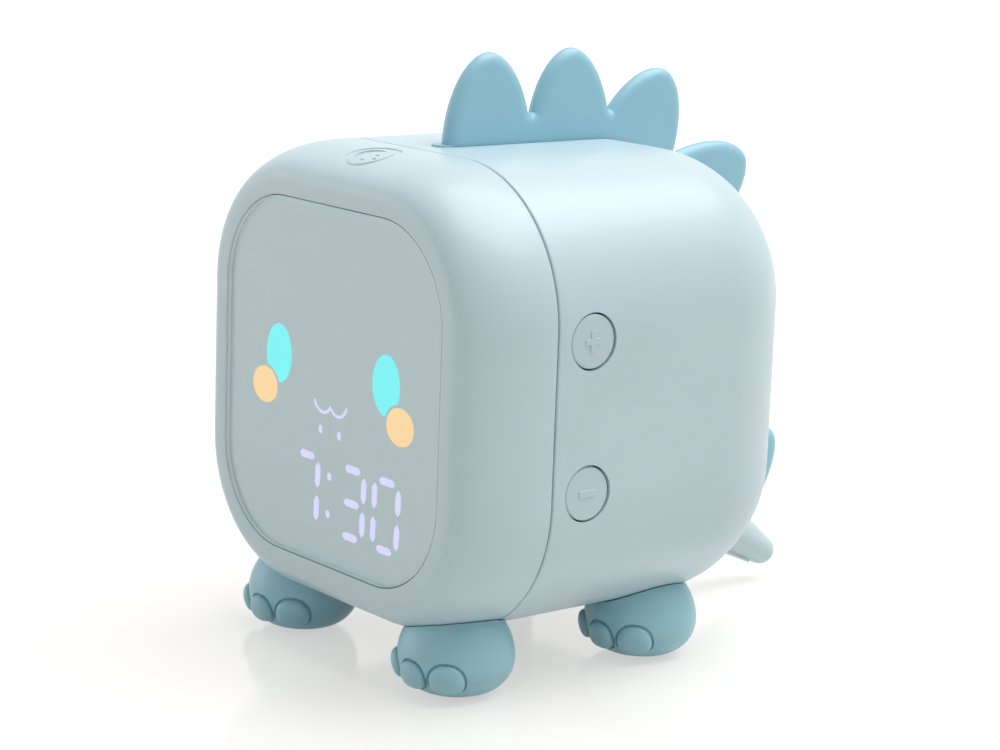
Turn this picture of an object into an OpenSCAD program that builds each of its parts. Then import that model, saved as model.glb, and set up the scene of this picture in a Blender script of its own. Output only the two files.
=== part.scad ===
// Kids' alarm clock with night light: a cube-bodied dinosaur on four feet.
// Millimetres. X to the clock's left hand as it faces -Y, Z up, origin on the table
// under the middle of the whole outline. The front shell carries the lit face, the
// rear shell carries the works, the spine comb, the tail and the side buttons.

/* [Case] */
// Width of the case
body_w = 90; // [86:0.5:96]
// Depth of the case from the face to the rear plane
body_d = 87.3; // [84:0.1:94]
// Height of the case without feet and spines
body_h = 89.6; // [86:0.1:96]
// Corner radius of the case seen from the front
corner_r = 29; // [27:0.5:32]
// How far the front rim steps in towards the face
rim_inset = 7.4; // [6:0.1:8]
// Depth of the front rim's rounding
rim_depth = 16.2; // [14:0.1:17]
// Radius of the edge round the rear
rear_round = 24.4; // [20:0.1:26]
// Wall thickness of both shells
wall = 2.2; // [1.8:0.1:2.6]
// Depth of the front shell, up to the seam
front_shell_d = 18.9; // [18:0.1:21]
// Open line between the two shells
seam_gap = 0.3; // [0.2:0.05:0.5]
// Length of the tongue that centres the rear shell on the front shell
lip_len = 2; // [1.5:0.1:2.5]
// Clearance of a part that seats on the case's rounded form
seat_gap = 0.05; // [0.02:0.01:0.1]
// Clearance round parts that are only laid in or glued
lay_gap = 0.1; // [0.05:0.05:0.2]

/* [Face] */
// Width of the rim beside the lens
rim_side = 10.25; // [9.5:0.05:12]
// Width of the rim above and below the lens
rim_above = 10.05; // [9.3:0.05:12]
// Corner radius of the face lens
lens_r = 18.8; // [17:0.1:20]
// Thickness of the clear lens
lens_t = 0.9; // [0.8:0.1:1.2]
// Thickness of the printed light sheet behind the lens
sheet_t = 0.5; // [0.3:0.1:0.7]
// Width of the ledge that the lens is glued to
ledge_w = 2; // [1.6:0.1:2.4]
// Thickness of that ledge
ledge_t = 1.8; // [1.5:0.1:2.2]
// Depth of the light mask
mask_t = 6.6; // [6:0.1:8]
// Thickness of the circuit boards
board_t = 1.6; // [1:0.2:2]
// How far the display board reaches past the lens's edge
display_over = 0.25; // [0:0.05:0.5]
// Distance of the display board's screws inside the lens's edge
display_screw_in = 5.15; // [4.9:0.05:5.3]
// Radius of the display board's screw posts
display_post_r = 2.3; // [2.1:0.1:2.5]

/* [Lit shapes] */
// Height of a digit between the middles of its outer bars
digit_h = 13.2; // [12:0.1:14]
// Width of a digit between the middles of its uprights
digit_w = 7.4; // [7:0.1:8]
// Width of one bar
bar_w = 1.3; // [1.1:0.1:1.5]
// Length of a level bar
bar_level = 4.2; // [3.8:0.1:4.6]
// Length of an upright bar
bar_upright = 4.8; // [4.4:0.1:5]
// Sideways lean of the digits over their height
digit_lean = 0.5; // [0:0.1:0.8]
// Distance from the middle of the display to an inner digit
digit_near = 7.5; // [7.3:0.1:8]
// Distance from an inner digit to the outer digit beside it
digit_pitch = 10.85; // [10.2:0.05:11.5]
// Drop of the digits' middle below the middle of the case
digit_drop = 21; // [20:0.1:22]
// Sideways place of an eye
eye_x = 17.5; // [16.5:0.1:18.5]
// Height of an eye above the middle of the case
eye_z = 3.7; // [3:0.1:5]
// Width of an eye
eye_w = 8.5; // [8:0.1:9]
// Height of an eye
eye_h = 11.6; // [11:0.1:12]
// Sideways place of a cheek
cheek_x = 22.1; // [22:0.1:23]
// Drop of a cheek below the middle of the case
cheek_drop = 3.3; // [3:0.1:4]
// Width of a cheek
cheek_w = 8.5; // [8:0.1:9]
// Height of a cheek
cheek_h = 7.2; // [6.8:0.1:7.6]
// Wall left between an eye and its cheek
cheek_wall = 0.6; // [0.5:0.1:0.8]

/* [Buttons] */
// Diameter of a button cap
button_d = 10.2; // [9:0.1:11]
// Gap round a button cap
button_gap = 0.3; // [0.2:0.05:0.4]
// Height between the two buttons of a side
button_pitch = 28.5; // [26:0.5:30]
// Distance of the buttons behind the seam
button_back = 8.3; // [8:0.1:9]
// Travel of a button
button_travel = 0.6; // [0.4:0.1:0.7]
// Diameter of the flange that holds a cap behind the wall
button_flange_d = 12.6; // [12:0.1:13.2]
// Thickness of that flange
button_flange_t = 1.2; // [1:0.1:1.4]
// Room between that flange and the flat of the wall
button_flange_room = 0.75; // [0.7:0.05:1]
// Diameter of the stem on a cap
button_stem_d = 3.2; // [2.8:0.1:3.6]
// Length of that stem
button_stem_l = 1.5; // [1.2:0.1:2]
// Width of a tact switch
tact_w = 6; // [5.5:0.1:6.5]
// Height of a tact switch without its plunger
tact_h = 2.8; // [2.6:0.1:3.5]
// Diameter of a tact switch's plunger
plunger_d = 3.4; // [3:0.1:3.6]
// Height that the plunger stands out of its switch
plunger_out = 1.1; // [0.9:0.1:1.4]
// Running clearance of the plunger in its switch
run_gap = 0.05; // [0.02:0.01:0.08]

/* [Feet] */
// Clear height under the case
stand_h = 10.2; // [9:0.1:12]
// Largest diameter of a foot
foot_d = 22.4; // [20:0.1:24]
// Radius of a foot's lower edge
foot_round = 6.7; // [6:0.1:7.5]
// Distance of a foot's middle inside the case's side
foot_in = 19.8; // [18:0.1:21]
// Distance of the front feet behind the face
foot_front = 13.3; // [13:0.1:14]
// Distance of the rear feet ahead of the rear plane
foot_rear = 27.6; // [26:0.1:30]
// Angle between neighbouring toes
toe_step = 42; // [40:1:44]
// Height of a toe's middle above the table
toe_z = 5.5; // [5:0.1:6]
// Length of a toe
toe_w = 7.6; // [7:0.1:8]
// Thickness of a toe
toe_h = 5.4; // [5:0.1:5.8]
// How far a toe stands out of the foot
toe_out = 1.4; // [1:0.1:1.8]
// Diameter of a rubber pad
pad_d = 8; // [7.6:0.1:8.4]
// Thickness of a rubber pad
pad_t = 1.2; // [1:0.1:1.5]
// How far a pad stands out under its foot
pad_out = 0.4; // [0.3:0.1:0.6]

/* [Spine and tail] */
// Thickness of the spine comb and the tail fin
spine_t = 4; // [3.4:0.1:4.6]
// Height of a spine
spine_h = 17.8; // [16:0.1:20]
// Width of a spine at its root
spine_w = 21; // [20:0.1:22]
// Roundness of a spine's outline, 2 for an ellipse and less for a leaner tip
spine_power = 1.85; // [1.6:0.05:2]
// Height of the valleys between spines above the case
valley_h = 5.8; // [4:0.1:6.5]
// Width of the hidden flange along the comb's root
flange_w = 8; // [7:0.5:9]
// Thickness of that flange
flange_t = 1.5; // [1.2:0.1:1.8]
// How far the tail reaches behind the case
tail_reach = 33; // [30:0.5:38]
// Radius of the tail's tip
tail_tip_r = 3.4; // [3:0.1:4]
// Radius of the tail's thick end
tail_root_r = 9; // [8:0.1:10]
// Length of the tail from the middle of its tip to its thick end
tail_len = 40; // [38:0.5:44]
// Downward slope of the tail
tail_slope = 31; // [29:0.5:33]
// Distance of the tail fin's middle from the tail's tip
tail_fin_back = 17; // [14:0.5:19]
// Height of the tail tip's middle above the table
tail_tip_z = 6.4; // [6:0.1:8]
// Length of the cover strip under the tail, from the tail's thick end
cover_l = 9.5; // [8:0.1:12]
// Thickness of that strip
cover_t = 0.9; // [0.6:0.1:1.2]
// Angle that it spans round the tail
cover_angle = 70; // [50:5:90]

/* [Works] */
// Width of the main board
main_w = 56; // [54:1:57]
// Depth of the main board
main_d = 44; // [42:1:45]
// Height of the main board's top face above the table
main_z = 34.5; // [34:0.1:35]
// Half the sideways spacing of the main board's screws
main_hole_x = 24; // [22:0.5:25]
// Distance of the main board's screws from its front and rear edges
main_hole_in = 3.4; // [3.2:0.1:4]
// Gap between the main board and the rear wall
main_back_gap = 2.4; // [2.2:0.1:3]
// Diameter of the battery cell
cell_d = 14.2; // [13.8:0.1:14.6]
// Length of the battery cell
cell_l = 50; // [48:0.5:51]
// Room between the speaker and the lugs of the case screws
speaker_room = 1.8; // [1:0.1:3]
// Radius of a sound hole
sound_hole_r = 0.9; // [0.7:0.1:1.1]
// Distance from the outer ring of sound holes in to the speaker's edge
sound_edge = 3.4; // [3:0.1:5]
// Sideways place of the charging socket, and of the slide switch opposite
port_x = 15; // [14:0.1:16]
// Width of the charging socket's metal mouth
port_w = 9; // [8.9:0.1:9.2]
// Height of that mouth
port_h = 3.3; // [3.2:0.1:3.4]
// Travel of the slide switch
slide_travel = 2; // [1.5:0.1:2.5]

/* [Screws] */
// Shank radius of the small screws
screw_r = 1; // [0.9:0.05:1.1]
// Head radius of the small screws
head_r = 1.9; // [1.8:0.05:2.1]
// Head height of the small screws
head_t = 1.2; // [1:0.1:1.4]
// Shank radius of the foot and tail screws
big_screw_r = 1.25; // [1.1:0.05:1.4]
// Head radius of the foot and tail screws
big_head_r = 2.5; // [2.3:0.1:2.7]
// Head height of the foot and tail screws
big_head_t = 1.6; // [1.4:0.1:1.9]
// Radial room between a screw and its hole
screw_gap = 0.03; // [0.02:0.01:0.05]

/* [Hidden] */
$fn = 48;

arc_steps = 12;
eps = 0.02;

shell_blue = [0.76, 0.85, 0.88];
trim_blue = [0.55, 0.72, 0.78];
face_grey = [0.69, 0.75, 0.76];
board_green = [0.10, 0.36, 0.22];
black = [0.10, 0.10, 0.11];
steel = [0.72, 0.73, 0.75];
brass = [0.80, 0.66, 0.35];
rubber_grey = [0.30, 0.33, 0.35];

// The case's own planes
y_front = -(body_d + tail_reach) / 2;
y_rear = y_front + body_d;
y_seam = y_front + front_shell_d;
z_low = stand_h;
z_mid = stand_h + body_h / 2;
z_top = stand_h + body_h;
floor_in = z_low + wall;
ceiling_in = z_top - wall;
side_in = body_w / 2 - wall;
rear_in = y_rear - wall;

// The face stack, counted back from the front plane
lens_w = body_w - 2 * rim_side;
lens_h = body_h - 2 * rim_above;
y_sheet = y_front + lens_t;
y_ledge = y_sheet + sheet_t;
y_mask = y_ledge + lay_gap;
front_wall = lens_t + sheet_t + ledge_t;
y_inside = y_front + front_wall;
y_board = y_mask + mask_t;
y_board_back = y_board + board_t;
mask_w = lens_w - 2 * ledge_w - 2 * lay_gap;
mask_h = lens_h - 2 * ledge_w - 2 * lay_gap;
mask_r = lens_r - ledge_w - lay_gap;

display_w = lens_w + 2 * display_over;
display_h = lens_h + 2 * display_over;
display_r = lens_r - 6;
display_hole_x = lens_w / 2 - display_screw_in;
display_hole_z = lens_h / 2 - display_screw_in;
board_screw_in = 4;
board_bore = 4.6;
tongue_step = wall / 2 + lay_gap;

// Lit shapes that are not sized one by one, about the middle of the case
digit_places = [-digit_near - digit_pitch, -digit_near, digit_near, digit_near + digit_pitch];
colon_out = digit_h / 4 + 0.4;
colon_places = [[digit_lean / 4, -digit_drop + colon_out], [-digit_lean / 4, -digit_drop - colon_out]];
nose_places = [[-3.1, -8.6], [3, -8.8]];
nose_w = 0.9;
nose_h = 1.6;
mouth_z = -3.6;
mouth_r = 2.5;
mouth_w = 0.7;

// Lamps: night lamps stand in a row along the top and the bottom of the display board
lamp_t = 0.7;
lamp_small = 0.6;
lamp_wide = 2;
night_pitch = 9;
night_w = 2.8;
night_h = 1.8;
night_edge = 2.4;
driver_w = 10;
driver_h = 7.6;
driver_t = 1.5;
driver_x = -12;
driver_up = 8;

// Ribbon cable and its two sockets
ribbon_socket_h = 3;
ribbon_socket_w = 4.4;
ribbon_t = 0.3;
ribbon_w = 12;
ribbon_bend = 3;
ribbon_run = 4;
z_display_socket = z_mid - 4;

// Touch sensor under the top of the front shell
touch_r = 4.5;
touch_t = 0.3;
touch_lead_w = 2.4;
y_touch = y_front + 13;
z_touch = ceiling_in - 1.5;

// Buttons and their switches, counted inwards from the side wall
y_button = y_seam + button_back;
button_levels = [z_mid + button_pitch / 2, z_mid - button_pitch / 2];
flange_out = side_in - button_flange_room;
flange_in = flange_out - button_flange_t;
stem_end = flange_in - button_stem_l;
tact_top = stem_end - plunger_out;
plunger_in = 1.6;
button_chamfer = 0.4;
button_board_out = tact_top - tact_h;
button_board_in = button_board_out - board_t;
button_board_w = 12;
button_board_r = 2;
button_board_end = 3;
button_post_r = 2.6;
button_board_hole = button_pitch / 2 + 9.8;
button_board_h = 2 * button_board_hole + 2 * button_board_end;

// Feet
foot_x = body_w / 2 - foot_in;
y_foot_front = y_front + foot_front;
y_foot_rear = y_rear - foot_rear;
foot_places = [[foot_x, y_foot_front], [-foot_x, y_foot_front], [foot_x, y_foot_rear], [-foot_x, y_foot_rear]];
foot_head_z = 5;
foot_screw_l = 13;
foot_post_r = 3;
foot_post_top = floor_in + 7.6;
foot_pilot = big_screw_r + screw_gap;
foot_top_angle = 80;

// Lugs of the case screws
lug_x = 9;
lug_w = 8.4;
y_case_screw = y_seam + 6;
lug_end = y_case_screw + lug_w / 2;

// Works
y_main_rear = rear_in - main_back_gap;
y_main_front = y_main_rear - main_d;
main_low = main_z - board_t;
main_post_r = 2.8;
main_rear_hole = main_hole_in + 4.6;
main_holes = [for (sx = [-1, 1], y = [y_main_front + main_hole_in, y_main_rear - main_rear_hole])
    [sx * main_hole_x, y]];
main_notch_w = 14;
main_notch_d = 3.4;
board_hole_r = screw_r + 0.2;
y_main_socket = y_main_front + 2.6;
// The speaker fills the flat of the floor between the lugs and the rear rounding
speaker_d = min(body_w - 2 * corner_r, y_rear - rear_round - speaker_room - lug_end);
y_speaker = y_rear - rear_round - speaker_d / 2;
sound_rings = 3;
sound_pitch = (speaker_d / 2 - sound_edge) / sound_rings;
z_gasket = floor_in;
gasket_t = 1;
z_basket = z_gasket + gasket_t;
basket_rim_t = 1.2;
basket_h = 7;
magnet_h = 5;
speaker_screw_place = speaker_d / 2 + 2.2;
speaker_post_r = 2.1;
speaker_post_top = z_basket + basket_rim_t;
speaker_head_r = 2.6;
speaker_screw_l = 3;
speaker_bore_low = speaker_post_top - speaker_screw_l - 0.2;
y_cell = y_main_front + 16.5;
holder_floor = 1.6;
z_cell = main_z + holder_floor + cell_d / 2 + lay_gap;
port_l = 7.4;
port_z = main_z + port_h / 2 + lay_gap;
port_mouth = y_rear - 0.7;
port_room = 0.4;
knob_w = 3.6;
knob_h = 2;
knob_z = main_z + 2.2;
switch_l = 5;
switch_w = 10;
switch_h = 4.4;
y_switch = rear_in - 0.4;
y_knob_in = y_switch - 1.9;
holder_half = cell_d / 2 + 1.5;
holder_end = cell_l / 2 + 0.6;
holder_wall = 1.6;
holder_rise = 2;
contact_w = 8;
contact_drop = 5;
contact_rise = 1.6;

// Chips behind the battery holder: the clock's own in the middle, two small ones beside it
y_chips = y_cell + holder_half + 2.6;
clock_chip_w = 9;
clock_chip_d = 7;
small_chip_x = 12;
small_chip_w = 5;
small_chip_d = 4;
chip_t = 1.4;

// Shell fastening
lug_low = floor_in + 0.15;
lug_t = 2.4;
hook_x = 11;
hook_w = 7;
hook_t = 2.2;
hook_barb = 1.4;
hook_up = 0.6;
y_hook = y_seam + 5;
y_latch = y_board_back + 1;
lug_post_r = 2.8;
lug_post_h = 6.4;
case_recess = 1.2;

// Tail axis: from the middle of the tip, forwards and up
y_tail_tip = y_rear + tail_reach - tail_tip_r;
tail_peg_r = 4;
tail_peg_l = 12;
tail_ring_r = tail_peg_r + 2.6;
tail_head_r = tail_peg_r + 1.4;
tail_screw_l = 9;
tail_flare = asin((tail_root_r - tail_tip_r) / tail_len);
// Distance along the axis from the tip's middle to the inner end of the ring it seats in
tail_boss_end = tail_len + 2.6;
fin_tab_w = 10;
fin_tab_d = 2.6;

// Spine comb: where it starts and ends, and its screws beside the flange
z_comb = main_z + 2.4;
comb_post_r = 1.9;
comb_ear = flange_w / 2 + comb_post_r + lay_gap;
comb_head_r = 2.9;
comb_screw_down = 8;
comb_screw_up = 17;
comb_screw_levels = [z_mid - comb_screw_down, z_mid + comb_screw_up];
y_comb_post = rear_in - flange_t - lay_gap;
comb_screw_l = 2.7;
comb_bore_end = y_comb_post + comb_screw_l + 0.1;
// Spines along the back: [distance, lean, width, height]
spines = [[-26.5, 0, spine_w, spine_h], [-5.9, 0, spine_w, spine_h + 0.4],
    [11.8, 0, spine_w, spine_h], [29.8, 7.5, spine_w + 1.2, spine_h + 4.7],
    [48.5, 6, spine_w, spine_h + 3.2], [66.8, 4, spine_w - 1, spine_h + 1.2]];
y_comb = y_rear - rear_round + spines[0][0] - spines[0][2] / 2;

// ---- profiles -------------------------------------------------------------

// Rounded rectangle about the origin
module plate(w, h, r) {
    square([w - 2 * r, h], center = true);
    square([w, h - 2 * r], center = true);
    for (sx = [-1, 1], sy = [-1, 1]) translate([sx * (w / 2 - r), sy * (h / 2 - r)]) circle(r);
}

// Ellipse about the origin, as a fine polygon
module oval(w, h) polygon([for (i = [0:31]) [w / 2 * cos(i * 11.25), h / 2 * sin(i * 11.25)]]);

// Slab of an X-Z outline between two depths
module slab_y(y0, y1) translate([0, y1, 0]) rotate([90, 0, 0]) linear_extrude(y1 - y0) children();

// Slab of a Y-Z outline between two sideways places
module slab_x(x0, x1) translate([x0, 0, 0]) rotate([90, 0, 90]) linear_extrude(x1 - x0) children();

// Slab of an X-Y outline between two heights
module slab_z(z0, z1) translate([0, 0, z0]) linear_extrude(z1 - z0) children();

module rod_x(y, z, x0, x1, r) translate([x0, y, z]) rotate([0, 90, 0]) cylinder(h = x1 - x0, r = r);
module rod_y(x, z, y0, y1, r) translate([x, y0, z]) rotate([-90, 0, 0]) cylinder(h = y1 - y0, r = r);
module rod_z(x, y, z0, z1, r) translate([x, y, z0]) cylinder(h = z1 - z0, r = r);
module box(x0, x1, y0, y1, z0, z1) translate([x0, y0, z0]) cube([x1 - x0, y1 - y0, z1 - z0]);

// Screw along +Z: the head's bearing face is at the origin and the shank goes up
module screw(r, l, hr, ht) {
    difference() {
        union() {
            cylinder(h = l, r = r);
            translate([0, 0, -ht]) cylinder(h = ht, r = hr);
        }
        for (a = [0, 90]) rotate([0, 0, a])
            translate([-hr * 0.55, -hr * 0.13, -ht - eps]) cube([hr * 1.1, hr * 0.26, ht * 0.6 + eps]);
    }
}

// ---- the case's rounded form ----------------------------------------------

// The front rim, an ellipse's quarter: [step in from the side, depth]
function rim_edge(inset, depth, y0) = [for (i = [0:arc_steps]) let (t = 90 * i / arc_steps)
    [inset * (1 - sin(t)), y0 + depth * (1 - cos(t))]];

// The rear edge, a circle's quarter: [step in from the side, depth]
function rear_edge(r, y1) = [for (i = [0:arc_steps]) let (t = 90 * i / arc_steps)
    [r * (1 - cos(t)), y1 - r * (1 - sin(t))]];

// A rounded box along Y. Its corners are quarter turns of the edge profile,
// its sides the same profile drawn straight.
module pillow(w, h, r, edge) {
    y0 = edge[0][1];
    y1 = edge[len(edge) - 1][1];
    half = concat([[0, y0]], [for (p = edge) [r - p[0], p[1]]], [[0, y1]]);
    cx = w / 2 - r;
    cz = h / 2 - r;
    turns = [[cx, -cz], [-cx, -cz], [-cx, cz], [cx, cz]];
    translate([0, 0, z_mid]) {
        for (k = [0:3]) translate([turns[k][0], 0, turns[k][1]])
            rotate([0, 90 * k, 0]) rotate([-90, 0, 0]) rotate_extrude(angle = 90) polygon(half);
        translate([-cx, y0, -cz]) cube([2 * cx, y1 - y0, 2 * cz]);
        for (m = [0, 1]) mirror([m, 0, 0]) translate([cx, 0, -cz]) linear_extrude(2 * cz) polygon(half);
        for (m = [0, 1]) mirror([0, 0, m]) translate([cx, 0, cz]) rotate([0, -90, 0])
            linear_extrude(2 * cx) polygon(half);
    }
}

// The whole case without its seam, grown by a clearance, to seat parts on it
module case_form(grow) {
    pillow(body_w + 2 * grow, body_h + 2 * grow, corner_r + grow,
        concat(rim_edge(rim_inset, rim_depth + grow, y_front - grow),
            rear_edge(rear_round + grow, y_rear + grow)));
}

// ---- shells ---------------------------------------------------------------

module lens_outline(gap) translate([0, z_mid]) plate(lens_w + 2 * gap, lens_h + 2 * gap, lens_r + gap);
module mask_outline(gap) translate([0, z_mid]) plate(mask_w + 2 * gap, mask_h + 2 * gap, mask_r + gap);

module display_places() for (sx = [-1, 1], sz = [-1, 1])
    translate([sx * display_hole_x, 0, z_mid + sz * display_hole_z]) children();

// Ring of a given step in from the case's side, between two depths
module case_ring(step_out, step_in, y0, y1) slab_y(y0, y1) translate([0, z_mid]) difference() {
    plate(body_w - 2 * step_out, body_h - 2 * step_out, corner_r - step_out);
    plate(body_w - 2 * step_in, body_h - 2 * step_in, corner_r - step_in);
}

module front_shell() color(shell_blue) {
    rim_end = y_seam - seam_gap / 2;
    difference() {
        union() {
            pillow(body_w, body_h, corner_r, concat(rim_edge(rim_inset, rim_depth, y_front), [[0, rim_end]]));
            // tongue that centres the rear shell
            slab_y(rim_end, y_seam + lip_len) translate([0, z_mid]) plate(body_w - 2 * tongue_step,
                body_h - 2 * tongue_step, corner_r - tongue_step);
        }
        pillow(body_w - 2 * wall, body_h - 2 * wall, corner_r - wall,
            concat(rim_edge(rim_inset, rim_depth - front_wall, y_inside), [[0, y_seam + lip_len + 1]]));
        slab_y(y_front - 1, y_ledge) lens_outline(lay_gap);
        slab_y(y_front - 1, y_inside + 1) mask_outline(lay_gap);
        for (k = [0, 1]) foot_holes(k);
    }
    // posts for the display board
    display_places() difference() {
        rod_y(0, 0, y_inside - 0.8, y_board, display_post_r);
        rod_y(0, 0, y_board - board_bore, y_board + 1, screw_r + screw_gap);
    }
    // seat of the touch pad
    rod_z(0, y_touch, z_touch, ceiling_in + 0.4, touch_r + 0.4);
    // posts for the front feet
    for (k = [0, 1]) foot_post(k);
    // lugs for the two case screws, reaching back under the rear shell
    for (s = [-1, 1]) difference() {
        x0 = s * lug_x - lug_w / 2;
        x1 = s * lug_x + lug_w / 2;
        union() {
            box(x0, x1, y_latch, y_case_screw + lug_w / 2, lug_low, lug_low + lug_t);
            box(x0, x1, y_latch, y_seam + lip_len, floor_in - hook_up, lug_low + lug_t);
            rod_z(s * lug_x, y_case_screw, lug_low, lug_low + lug_post_h, lug_post_r);
        }
        rod_z(s * lug_x, y_case_screw, lug_low - 1, lug_low + lug_post_h + 1, screw_r + screw_gap);
    }
    // hooks that hold the top of the rear shell
    for (s = [-1, 1]) {
        x0 = s * hook_x - hook_w / 2;
        x1 = s * hook_x + hook_w / 2;
        box(x0, x1, y_latch, y_hook, ceiling_in - hook_t, ceiling_in - 0.15);
        box(x0, x1, y_latch, y_seam + lip_len, ceiling_in - hook_t, ceiling_in + hook_up);
        box(x0, x1, y_hook - hook_barb, y_hook, ceiling_in - 1, ceiling_in + hook_up);
    }
}

// Outline in Y-Z of the case's back, stepped in by d, above z0 and behind y0
module back_outline(d, y0, z0) {
    r = rear_round - d;
    cy = y_rear - rear_round;
    cz = z_top - rear_round;
    translate([y0, z0]) square([cy - y0, z_top - d - z0]);
    translate([cy - eps, z0]) square([r + eps, cz - z0]);
    translate([cy, cz]) circle(r);
}

// Band that runs along the back between two steps in
module back_band(d0, d1, y0, z0) difference() {
    back_outline(d0, y0, z0);
    back_outline(d1, y0 - 1, z0 - 1);
}

// Post inside the case over foot k
module foot_post(k) {
    p = foot_places[k];
    difference() {
        intersection() {
            rod_z(p[0], p[1], z_low, foot_post_top, foot_post_r);
            case_form(-wall / 2);
        }
        rod_z(p[0], p[1], z_low - 1, foot_post_top + 1, foot_pilot);
    }
}

module foot_holes(k) rod_z(foot_places[k][0], foot_places[k][1], z_low - 1, z_low + 12, foot_pilot);

// Sound holes in rings under the speaker
module sound_holes() {
    rod_z(0, y_speaker, z_low - 1, floor_in + 1, sound_hole_r);
    for (ring = [1:sound_rings], k = [0:6 * ring - 1]) let (a = 60 / ring * k, d = ring * sound_pitch)
        rod_z(d * cos(a), y_speaker + d * sin(a), z_low - 1, floor_in + 1, sound_hole_r);
}

module speaker_places() for (a = [30, 150, 270])
    translate([speaker_screw_place * cos(a), y_speaker + speaker_screw_place * sin(a), 0]) children();

module comb_screw_places() for (z = comb_screw_levels, s = [-1, 1]) translate([s * comb_ear, 0, z]) children();

// Bore along the tail's axis, from outside the case to well inside it
module tail_bore(from, r) tail_axis() translate([0, 0, -60]) cylinder(h = 60 - from, r = r);

module rear_shell() color(shell_blue) {
    rim_end = y_seam + seam_gap / 2;
    difference() {
        union() {
            difference() {
                pillow(body_w, body_h, corner_r, concat([[0, rim_end]], rear_edge(rear_round, y_rear)));
                pillow(body_w - 2 * wall, body_h - 2 * wall, corner_r - wall,
                    concat([[0, rim_end - 1]], rear_edge(rear_round - wall, rear_in)));
                // rebate for the front shell's tongue
                case_ring(wall / 2, wall + 1, rim_end - 1, y_seam + lip_len + lay_gap);
            }
            // ring that the tail's peg goes through
            intersection() {
                tail_bore(0, tail_ring_r);
                difference() {
                    case_form(-wall / 2);
                    tail_bore(tail_boss_end, 20);
                }
            }
            // posts for the speaker's screws and for the comb's screws
            speaker_places() rod_z(0, 0, floor_in - 1, speaker_post_top, speaker_post_r);
            comb_screw_places() rod_y(0, 0, y_comb_post, rear_in + 1, comb_post_r);
        }
        speaker_places() rod_z(0, 0, speaker_bore_low, speaker_post_top + 1, screw_r + screw_gap);
        comb_screw_places() rod_y(0, 0, y_comb_post - 1, comb_bore_end, screw_r + screw_gap);
        // slot for the spine comb
        slab_x(-spine_t / 2 - lay_gap, spine_t / 2 + lay_gap)
            back_band(-1, wall + 1, y_comb - lay_gap, z_comb - lay_gap);
        // holes for the four buttons
        for (z = button_levels) rod_x(y_button, z, -body_w, body_w, button_d / 2 + button_gap);
        tail_bore(0, tail_peg_r + lay_gap);
        // pockets for the front shell's hooks
        for (s = [-1, 1]) box(s * hook_x - hook_w / 2 - 0.2, s * hook_x + hook_w / 2 + 0.2,
            y_hook - hook_barb - 0.3, y_hook + 0.3, ceiling_in - 1, ceiling_in + hook_up + 0.3);
        // case screws: shank hole and head recess
        for (s = [-1, 1]) {
            rod_z(s * lug_x, y_case_screw, z_low - 1, floor_in + 1, screw_r + 0.3);
            rod_z(s * lug_x, y_case_screw, z_low - 1, z_low + case_recess, head_r + 0.3);
        }
        for (k = [2, 3]) foot_holes(k);
        button_board_bores();
        sound_holes();
        // openings of the charging socket and of the slide switch
        slab_y(rear_in - 1, y_rear + 1) translate([port_x, port_z])
            plate(port_w + port_room, port_h + port_room, (port_h + port_room) / 2 - eps);
        slab_y(rear_in - 1, y_rear + 1) translate([-port_x, knob_z])
            plate(knob_w + slide_travel + 0.8, knob_h + 0.6, 0.6);
    }
    for (k = [2, 3]) foot_post(k);
    // posts for the main board
    for (p = main_holes) intersection() {
        difference() {
            rod_z(p[0], p[1], z_low, main_low, main_post_r);
            rod_z(p[0], p[1], main_low - board_bore, main_low + 1, screw_r + screw_gap);
        }
        case_form(-wall / 2);
    }
    // posts for the button boards
    intersection() {
        difference() {
            button_board_rods(button_board_out, body_w / 2, button_post_r);
            button_board_bores();
        }
        case_form(-wall / 2);
    }
}

module button_board_rods(x0, x1, r) for (m = [0, 1], t = [-1, 1])
    mirror([m, 0, 0]) rod_x(y_button, z_mid + t * button_board_hole, x0, x1, r);
module button_board_bores()
    button_board_rods(button_board_out - 1, button_board_out + board_bore, screw_r + screw_gap);

// ---- face and display -----------------------------------------------------

module face_lens() color([0.85, 0.92, 0.94, 0.4]) slab_y(y_front, y_sheet) lens_outline(0);

module light_sheet() color(face_grey) slab_y(y_sheet, y_ledge) lens_outline(0);

// One bar with pointed-round ends, along X
module bar(l) {
    square([l - bar_w, bar_w], center = true);
    for (s = [-1, 1]) translate([s * (l - bar_w) / 2, 0]) circle(bar_w / 2);
}

// The seven bars of a digit about its middle
module digit_bars() {
    for (k = [-1, 0, 1]) translate([k * digit_lean / 2, k * digit_h / 2]) bar(bar_level);
    for (sx = [-1, 1], sz = [-1, 1])
        translate([sx * digit_w / 2 + sz * digit_lean / 4, sz * digit_h / 4]) rotate(90) bar(bar_upright);
}

// The middles of the seven bars, for the lamps behind them
function bar_places(x) = concat(
    [for (k = [-1, 0, 1]) [x + k * digit_lean / 2, -digit_drop + k * digit_h / 2]],
    [for (sx = [-1, 1], sz = [-1, 1])
        [x + sx * digit_w / 2 + sz * digit_lean / 4, -digit_drop + sz * digit_h / 4]]);

module mouth() for (s = [-1, 1]) translate([s * mouth_r, mouth_z]) difference() {
    circle(mouth_r + mouth_w / 2);
    circle(mouth_r - mouth_w / 2);
    translate([-2 * mouth_r, -mouth_r * 0.4]) square([4 * mouth_r, 4 * mouth_r]);
}

module eye() difference() {
    translate([eye_x, eye_z]) oval(eye_w, eye_h);
    translate([cheek_x, -cheek_drop]) oval(cheek_w + 2 * cheek_wall, cheek_h + 2 * cheek_wall);
}

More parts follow.
